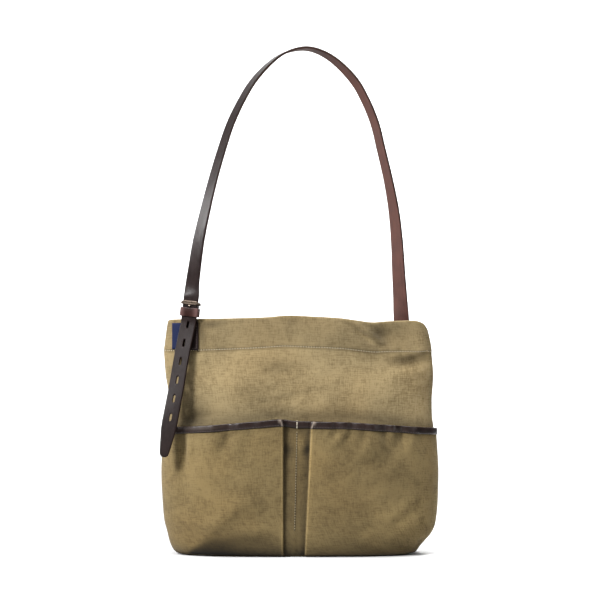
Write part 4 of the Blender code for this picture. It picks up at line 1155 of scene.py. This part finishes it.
STRAP_STATIONS = 330
TIP_STATIONS = 24
RUN_READ = 0.003
SLOT_READ = 0.004
SLOT_ARC = 8


def build_strap(place, materials):
    dense = smooth_path(strap_knots(place))
    lengths = run_lengths(dense[:, :3])
    at_prong = float(lengths[int(np.argmin(np.linalg.norm(dense[:, :3] - place[0], axis=1)))])
    total = float(lengths[-1])
    taper = TIP_ROWS[-1][0]
    alongs = sorted(set([row[0] for row in TIP_ROWS] + list(np.linspace(0.0, taper, TIP_STATIONS))
                        + list(np.linspace(taper, total, STRAP_STATIONS))))
    rows = sample(dense, lengths, alongs)
    ahead = sample(dense, lengths, [along + RUN_READ for along in alongs])
    behind = sample(dense, lengths, [along - RUN_READ for along in alongs])
    widths = smooth_lookup(TIP_ROWS, 1, np.array(alongs))
    stations = []
    for row, after, before, share in zip(rows, ahead, behind, widths):
        width, face = ribbon_axes(unit(after[:3] - before[:3]), row[3])
        stations.append((row[:3], width, face, STRAP_WIDTH / 2.0 * float(share)))
    strap = swept("leather_strap", stations, STRAP_THICKNESS, 0.0009, materials)
    half = SLOT_WIDTH / 2.0
    straight = SLOT_LENGTH / 2.0 - half
    outline = []
    for start, middle in ((0.0, straight), (math.pi, -straight)):
        for k in range(SLOT_ARC + 1):
            angle = start + math.pi * k / SLOT_ARC
            outline.append((half * math.cos(angle), middle + half * math.sin(angle)))
    count = len(outline)
    cut_points = []
    cut_faces = []
    for index in range(SLOT_COUNT):
        along = at_prong - index * SLOT_PITCH
        before, middle, after = sample(dense, lengths, [along - SLOT_READ, along, along + SLOT_READ])
        run = unit(after[:3] - before[:3])
        width, face = ribbon_axes(run, middle[3])
        start = len(cut_points)
        for depth in (-0.004, 0.004):
            cut_points += [middle[:3] + width * a + run * b + face * depth for a, b in outline]
        cut_faces += [tuple(start + i for i in face_ids) for face_ids in tube_faces(2, count, caps=True)]
    apply_boolean(strap, outward(new_object("slot_cutter", cut_points, cut_faces, [materials[2]])))
    return strap, stations


def build_chape(place, materials):
    _, run, width, face = place
    stations = []
    half = CHAPE_WIDTH / 2.0
    stand_off = GAP + EASE + CHAPE_THICKNESS / 2.0
    knots = []
    for up in (HEM_UP + 0.015, 1.80, 1.90, 1.96):
        turn = float(turn_at(up, CHAPE_X))
        base = skin(up, turn)
        nx, ny = [float(v) for v in plan_normals(np.array(up), np.array(turn))]
        out = np.array((nx, ny, 0.0))
        across = np.array((-ny, nx, 0.0))
        knots.append((base + out * (stand_off + 0.0003), across, out, half))
    depth = front_ply_depth()
    bar_depth, bar_rise = bar_centre()
    radius = BAR_RADIUS + GAP + CHAPE_THICKNESS / 2.0
    for rise_up in (KEEPER_TOP - KEEPER_HEIGHT - 0.0009, -0.0032, -0.0001):
        knots.append((local_point(place, 0.0, depth, rise_up), width, face, half))
    for a, b in zip(knots, knots[1:]):
        for t in (0.0, 0.25, 0.5, 0.75):
            stations.append((a[0] + (b[0] - a[0]) * t, unit(a[1] + (b[1] - a[1]) * t),
                             unit(a[2] + (b[2] - a[2]) * t), half))
    stations.append(knots[-1])
    for k in range(17):
        cosine, sine = math.cos(math.pi * k / 16), math.sin(math.pi * k / 16)
        spot = local_point(place, 0.0, bar_depth + radius * cosine, bar_rise + radius * sine)
        stations.append((spot, width, face * cosine + run * sine, half))
    for rise_up in (-0.0016, -CHAPE_BACK_PLY):
        stations.append((local_point(place, 0.0, bar_depth - radius, rise_up), width, -face, half))
    return swept("leather_tab", stations, CHAPE_THICKNESS, 0.0005, materials), knots


def build_keeper(place, material):
    """Leather loop round the strap and the tab's front ply, with painted highlights at its ends."""
    front = STRAP_THICKNESS / 2.0 + EASE
    rear = front_ply_depth() - CHAPE_THICKNESS / 2.0 - EASE
    side = STRAP_WIDTH / 2.0 + EASE + 0.0006
    corner = 0.0010
    edge = 0.0006
    swell = 0.00018
    ring = []
    for sx, sd in ((1, 1), (-1, 1), (-1, -1), (1, -1)):
        depth = (front if sd > 0 else rear) - sd * corner
        start = math.atan2(sd, sx) - math.pi / 4.0
        for k in range(7):
            angle = start + math.pi / 2.0 * k / 6
            ring.append((sx * (side - corner), depth, math.cos(angle), math.sin(angle)))
        for k in range(1, 12 if sx == sd else 1):
            ring.append((sx * (side - corner) * (1.0 - k / 6.0), depth, 0.0, float(sd)))
    half = KEEPER_HEIGHT / 2.0
    turns = [(math.sin(math.pi * k / 12), math.cos(math.pi * k / 12)) for k in range(7)]
    profile = [(KEEPER_LEATHER - edge + edge * a, half - edge + edge * b) for a, b in turns]
    profile += [(KEEPER_LEATHER + swell * math.sin(math.pi * k / 6), (half - edge) * (1.0 - k / 3.0))
                for k in range(1, 6)]
    profile += [(KEEPER_LEATHER - edge + edge * b, edge - half - edge * a) for a, b in turns]
    profile += [(0.0, -half), (0.0, half)]
    points = []
    painted_highlight = []
    for cx, cd, ox, od in ring:
        for out, level in profile:
            reach = corner + out
            points.append(local_point(place, cx + reach * ox, cd + reach * od, KEEPER_TOP - half + level))
            # painted highlight growing toward the loop's two ends
            painted_highlight.append(float(rise(abs(cx + reach * ox), 0.40 * side, 0.54 * side)))
    faces = tube_faces(len(ring), len(profile), closed=True)
    return outward(add_painted_light_and_tone(new_object("leather_keeper", points, faces, [material]), painted_highlight))


def metal_copy(node, name, material):
    """Copy of a packed metal node with eased shading."""
    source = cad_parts[node]
    obj = source.copy()
    obj.data = source.data.copy()
    obj.name = name
    obj.data.name = name
    bpy.context.scene.collection.objects.link(obj)
    bevel = obj.modifiers.new("ease", "BEVEL")
    bevel.width = 0.00018
    bevel.segments = 2
    bevel.limit_method = "ANGLE"
    bevel.angle_limit = math.radians(30.0)
    depsgraph = bpy.context.evaluated_depsgraph_get()
    mesh = bpy.data.meshes.new_from_object(obj.evaluated_get(depsgraph))
    obj.modifiers.clear()
    obj.data = mesh
    mesh.materials.clear()
    mesh.materials.append(material)
    mesh.polygons.foreach_set("use_smooth", np.full(len(mesh.polygons), True))
    return obj


def build_label(material):
    """Plain tape on the hem beside the leather tab."""
    ups = np.linspace(HEM_UP + 0.028, 1.966, 14)
    columns = 14
    points = []
    uv = []
    for up in ups:
        turns = np.linspace(float(turn_at(up, LABEL_LEFT)), float(turn_at(up, LABEL_EDGE)), columns)
        level = np.full(columns, up)
        base = skin(level, turns)
        nx, ny = plan_normals(level, turns)
        out = np.stack([nx, ny, np.zeros(columns)], axis=-1)
        inner = base + out * (GAP + EASE + 0.0004)
        outer = base + out * (GAP + EASE + LABEL_THICKNESS)
        points.append(np.vstack([outer, inner[::-1]]))
        line = np.stack([np.linspace(-0.0085, 0.0085, columns), (level - 1.82) * 0.14], axis=-1)
        uv.append(np.vstack([line, line[::-1]]))
    faces = slab_faces(len(ups), 2 * columns)
    return outward(new_object("blue_label", np.concatenate(points), faces, [material], np.concatenate(uv)))


STITCH_SIDES = 6
STITCH_PROFILE = (
    # share of the half length, share of the radius
    (-1.0, 0.25), (-0.8, 0.75), (-0.35, 1.0), (0.35, 1.0), (0.8, 0.75), (1.0, 0.25),
)


def stitch_mesh(name, marks, length, radius, material, lift=0.0):
    """One mesh of small rounded stitches; a mark is centre, direction and outward normal."""
    points = []
    faces = []
    one = tube_faces(len(STITCH_PROFILE), STITCH_SIDES, caps=True)
    for centre, along, out in marks:
        along = unit(np.asarray(along, float))
        out = unit(out - along * np.dot(out, along))
        across = np.cross(along, out)
        start = len(points)
        for share, size in STITCH_PROFILE:
            bow = radius * 0.9 * (1.0 - share * share)
            for k in range(STITCH_SIDES):
                angle = 2.0 * math.pi * k / STITCH_SIDES
                points.append(centre + along * (share * length / 2.0)
                              + across * (math.cos(angle) * radius * size)
                              + out * (math.sin(angle) * radius * size * 0.8 + bow + lift))
        faces += [tuple(start + i for i in ids) for ids in one]
    return outward(new_object(name, points, faces, [material]))


def surface_marks(line, pitch, shift=0.0):
    """Stitch places at even pitch along a row of points with normals."""
    points, normals = line
    lengths = run_lengths(points)
    marks = []
    for k in range(int(lengths[-1] / pitch - shift)):
        value = (k + 0.5 + shift) * pitch
        behind, spot, ahead = sample(points, lengths, [value - 0.0008, value, value + 0.0008])
        marks.append((spot, ahead - behind, sample(normals, lengths, value)))
    return marks


def leg_marks(legs, station, run, thickness):
    """Stitch places along straight legs on a leather face; a leg is two pairs of side and rise."""
    centre, width, face = station[:3]
    marks = []
    for start, end in legs:
        sideways, upward = end[0] - start[0], end[1] - start[1]
        steps = max(2, int(math.hypot(sideways, upward) / LEG_PITCH))
        for k in range(steps):
            t = (k + 0.5) / steps
            spot = centre + run * (start[1] + upward * t) + width * (start[0] + sideways * t)
            marks.append((spot + face * thickness / 2.0, width * sideways + run * upward, face))
    return marks


def sack_line(turns):
    """Points and normals of the hem's stitching."""
    ups = hem_level(skin(np.full(len(turns), HEM_UP), turns)[:, 0])
    detail = sack_detail(ups, turns, skin(ups, turns))
    return skin(ups, turns, 0.0, detail), skin_normal(ups, turns)


CANVAS_OUT = canvas_material("canvas_cloth", (0.048, 0.0347, 0.0150), (0.092, 0.0672, 0.0315),
                             (0.138, 0.1055, 0.0540))
CANVAS_IN = canvas_material("canvas_inside", (0.045, 0.033, 0.016), (0.078, 0.059, 0.030),
                            (0.110, 0.086, 0.048))
# Darker, more saturated copy of the same canvas for the pocket cloth: painted shade.
CANVAS_POCKET_SHADED = canvas_material("canvas_pocket_shaded", (0.0350, 0.0240, 0.0086), (0.066, 0.0457, 0.0182),
                                (0.101, 0.0735, 0.0315))
LEATHER_GRAIN = leather_material("strap_grain", (0.0050, 0.0031, 0.0029), (0.0098, 0.0062, 0.0059),
                                 0.30, 0.38, shine=0.06)
LEATHER_FLESH = leather_material("strap_inside", (0.027, 0.0095, 0.0068), (0.046, 0.0175, 0.0128), 0.58, 0.72,
                                 grain_scale=900.0, shine=0.16)
LEATHER_EDGE = leather_material("strap_edge", (0.010, 0.0055, 0.0042), (0.022, 0.0125, 0.0100), 0.40, 0.55)
# its worn colour is the colour of its painted highlights
LEATHER_BINDING = leather_material("edging_leather", (0.0042, 0.0019, 0.0014), (0.0105, 0.0047, 0.0036),
                                   0.30, 0.40, crease_strength=0.3, painted_highlight=(0.13, 0.105, 0.085), shine=0.24)
# its worn colour is the colour of the painted highlights at the loop's ends
LEATHER_BROWN = leather_material("keeper_leather", (0.0070, 0.0024, 0.0019), (0.0165, 0.0058, 0.0046),
                                 0.28, 0.36, painted_highlight=(0.052, 0.028, 0.026), shine=0.08)
METAL = plain_material("aged_brass", (0.078, 0.060, 0.047), 0.40, 1.0, 0.18, 600.0, 0.12, 0.0001)
THREAD = thread_material("pale_thread", (0.40, 0.335, 0.215))
# Dark dots sunk between the stitches: painted shade of the stitch dimples.
DIMPLE_SHADE = thread_material("dimple_shade", (0.016, 0.011, 0.005), roughness=0.95)
THREAD_DULL = thread_material("dull_thread", (0.20, 0.165, 0.100))
THREAD_LIGHT = thread_material("light_thread", (0.42, 0.38, 0.30), vary=0.08)
THREAD_DARK = thread_material("dark_thread", (0.030, 0.018, 0.014), roughness=0.7)
LABEL = label_material()


def take(obj, slot_name, *nodes):
    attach(obj, "root")
    if nodes:
        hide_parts(*nodes)


sack = build_sack(CANVAS_OUT, CANVAS_IN)
take(sack, "canvas", "bag_body")
panel = build_panel(CANVAS_POCKET_SHADED)
take(panel, "pocket_canvas", "pocket_panel")
binding = build_binding(LEATHER_BINDING)
take(binding, "leather_binding", "pocket_binding")
place = buckle_place()
strap, strap_stations = build_strap(place, [LEATHER_GRAIN, LEATHER_FLESH, LEATHER_EDGE])
take(strap, "leather_dark", "strap")
tab, tab_knots = build_chape(place, [LEATHER_GRAIN, LEATHER_FLESH, LEATHER_EDGE])
take(tab, "leather_tab", "chape")
keeper = build_keeper(place, LEATHER_BROWN)
take(keeper, "leather_brown", "keeper")
buckle = metal_copy("buckle_frame", "brass_frame", METAL)
take(buckle, "metal", "buckle_frame")
prong = metal_copy("buckle_prong", "brass_prong", METAL)
take(prong, "metal_prong", "buckle_prong")
label = build_label(LABEL)
take(label, "label", "label")

hem_line = sack_line(np.linspace(0.02, 2.0 * math.pi - 0.02, 900))
take(stitch_mesh("hem_stitches", surface_marks(hem_line, STITCH_PITCH), 0.0017, 0.00044, THREAD), "canvas")
# painted shade of the dimples between the hem stitches
dimple_line = (hem_line[0] + np.array((0.0, 0.0, 0.0006)), hem_line[1])
take(stitch_mesh("hem_dimple_shade", surface_marks(dimple_line, STITCH_PITCH, 0.5), 0.0017, 0.00078, DIMPLE_SHADE,
                 -0.00030), "canvas")

pleat_points = []
pleat_normals = []
for up in np.linspace(0.935, 0.19, 120):
    path = panel_path(float(up))
    normal = path_normals(path)[MIDDLE_COLUMN]
    pleat_points.append(path[MIDDLE_COLUMN] + normal * PANEL_CLOTH / 2.0)
    pleat_normals.append(normal)
pleat_line = (np.array(pleat_points), np.array(pleat_normals))
take(stitch_mesh("pleat_stitches", surface_marks(pleat_line, STITCH_PITCH), 0.0018, 0.00044, THREAD_DULL),
     "pocket_canvas")
# painted shade of the dimples between the pleat stitches
take(stitch_mesh("pleat_dimple_shade", surface_marks(pleat_line, STITCH_PITCH, 0.5), 0.0017, 0.00060, DIMPLE_SHADE,
                 -0.00024), "pocket_canvas")

top_path = panel_path(1.0)
low_path = panel_path(EDGE_LEVEL)
top_normal = path_normals(top_path)
down = (low_path - top_path) * (BINDING_DROP / (top_path[:, 2:] - low_path[:, 2:]))
UPWARD = np.array((0.0, 0.0, 1.0))
middle_top, middle_down, middle_out = [rows[MIDDLE_COLUMN] for rows in (top_path, down, top_normal)]
tack_marks = [(middle_top + middle_down * share + middle_out * EDGE_OUT * 1.07, UPWARD, middle_out)
              for share in (0.12, 0.38, 0.64, 0.90)]
tack_marks.append((middle_top + UPWARD * (GAP + BINDING_LEATHER), middle_out, UPWARD))
take(stitch_mesh("edging_tack", tack_marks, 0.0020, 0.00050, THREAD_LIGHT), "leather_binding")

edge_row = top_path + down * 0.80 + top_normal * EDGE_OUT * 1.05
edge_marks = []
for part in (slice(0, LEFT_COLUMNS), slice(-LEFT_COLUMNS, None)):
    edge_marks += surface_marks((edge_row[part], top_normal[part]), EDGING_PITCH)
take(stitch_mesh("edging_stitches", edge_marks, 0.0024, 0.00024, THREAD_DARK), "leather_binding")

foot = tab_knots[0]
side, low, high = CHAPE_WIDTH / 2.0 - 0.0022, 0.002, 0.033
tab_legs = (((-side, low), (side, low)), ((side, low), (side, high)), ((-side, low), (-side, high)))
tab_marks = leg_marks(tab_legs, foot, unit(tab_knots[3][0] - foot[0]), CHAPE_THICKNESS)
take(stitch_mesh("tab_stitches", tab_marks, 0.0024, 0.00028, THREAD_DARK), "leather_tab")

side, low, high = STRAP_WIDTH / 2.0 - 0.0024, 0.0028, 0.030
box_legs = (((-side, low), (side, low)), ((side, low), (side, high)), ((side, high), (-side, high)),
            ((-side, high), (-side, low)), ((-side, low), (side, high)), ((side, low), (-side, high)))
back_run = unit(strap_stations[-8][0] - strap_stations[-1][0])
rear_marks = leg_marks(box_legs, strap_stations[-1], back_run, STRAP_THICKNESS)
take(stitch_mesh("strap_end_stitches", rear_marks, 0.0024, 0.00030, THREAD_DARK), "leather_dark")


def stage_material(name, colour):
    return Shader(name).finish(Base_Color=(*colour, 1.0), Roughness=0.9, Specular_IOR_Level=0.1)


def build_sweep():
    """Floor that curves up into a backdrop."""
    floor, bend, radius = -0.0004, 2.0, 1.2
    profile = [(-3.2, floor), (bend, floor)]
    for k in range(1, 17):
        angle = math.pi / 2.0 * k / 16
        profile.append((bend + radius * math.sin(angle), floor + radius * (1.0 - math.cos(angle))))
    profile.append((bend + radius, 4.5))
    points = [(x, y, z) for y, z in profile for x in (-5.0, 5.0)]
    faces = [(2 * i, 2 * i + 1, 2 * i + 3, 2 * i + 2) for i in range(len(profile) - 1)]
    return new_object("studio_sweep", points, faces, [stage_material("studio_white", (0.35, 0.35, 0.35))])


build_sweep()


LIGHTS = (
    # name, location, target, size, power, spread in degrees
    ("key", (-1.60, -1.55, 1.80), (0.0, 0.0, 0.2), (0.75, 0.75), 225.0, 180.0),
    ("top", (-0.15, -0.45, 2.40), (0.0, 0.0, 0.2), (1.5, 1.1), 95.0, 180.0),
    ("fill", (1.9, -1.9, 0.9), (0.05, 0.0, 0.2), (1.0, 1.0), 14.0, 180.0),
    ("side", (-2.45, 0.66, 0.98), (-0.10, 0.0, 0.45), (0.40, 0.5), 6.5, 60.0),
    ("floor_right", (0.62, 0.25, 1.20), (0.42, 0.22, 0.0), (0.25, 0.25), 5.0, 36.0),
    ("floor_back", (0.70, 0.95, 1.50), (0.52, 0.66, 0.0), (0.25, 0.25), 4.5, 36.0),
    ("backdrop_left", (-2.0, 1.4, 1.8), (-0.4, 3.2, 0.9), (1.5, 1.5), 150.0, 120.0),
    ("backdrop_right", (2.0, 1.4, 1.8), (0.4, 3.2, 0.9), (1.5, 1.5), 150.0, 120.0),
)
for name, location, target, size, power, spread in LIGHTS:
    lamp = bpy.data.lights.new(name, "AREA")
    lamp.shape = "RECTANGLE"
    lamp.size, lamp.size_y = size
    lamp.energy = power
    lamp.spread = math.radians(spread)
    light = bpy.data.objects.new(name, lamp)
    light.location = location
    light.rotation_euler = (Vector(target) - Vector(location)).to_track_quat("-Z", "Y").to_euler()
    bpy.context.scene.collection.objects.link(light)

scene = bpy.context.scene
world = bpy.data.worlds.new("studio_world")
world.use_nodes = True
world.node_tree.nodes["Background"].inputs["Color"].default_value = (1.0, 1.0, 1.0, 1.0)
world.node_tree.nodes["Background"].inputs["Strength"].default_value = 0.12
scene.world = world
scene.view_settings.view_transform = "Standard"
scene.view_settings.look = "None"
scene.view_settings.exposure = 0.0
scene.view_settings.gamma = 1.0

CAMERA_DISTANCE = 2.6
VIEW_WIDTH = 0.798
camera_data = bpy.data.cameras.new("camera")
camera_data.sensor_width = 36.0
camera_data.lens = camera_data.sensor_width * CAMERA_DISTANCE / VIEW_WIDTH
camera_data.dof.use_dof = False
camera_data.clip_start = 0.05
camera_data.clip_end = 50.0
camera = bpy.data.objects.new("camera", camera_data)
camera.location = (0.0019, -CAMERA_DISTANCE, 0.3368)
camera.rotation_euler = (math.radians(90.0), 0.0, 0.0)
scene.collection.objects.link(camera)
scene.camera = camera
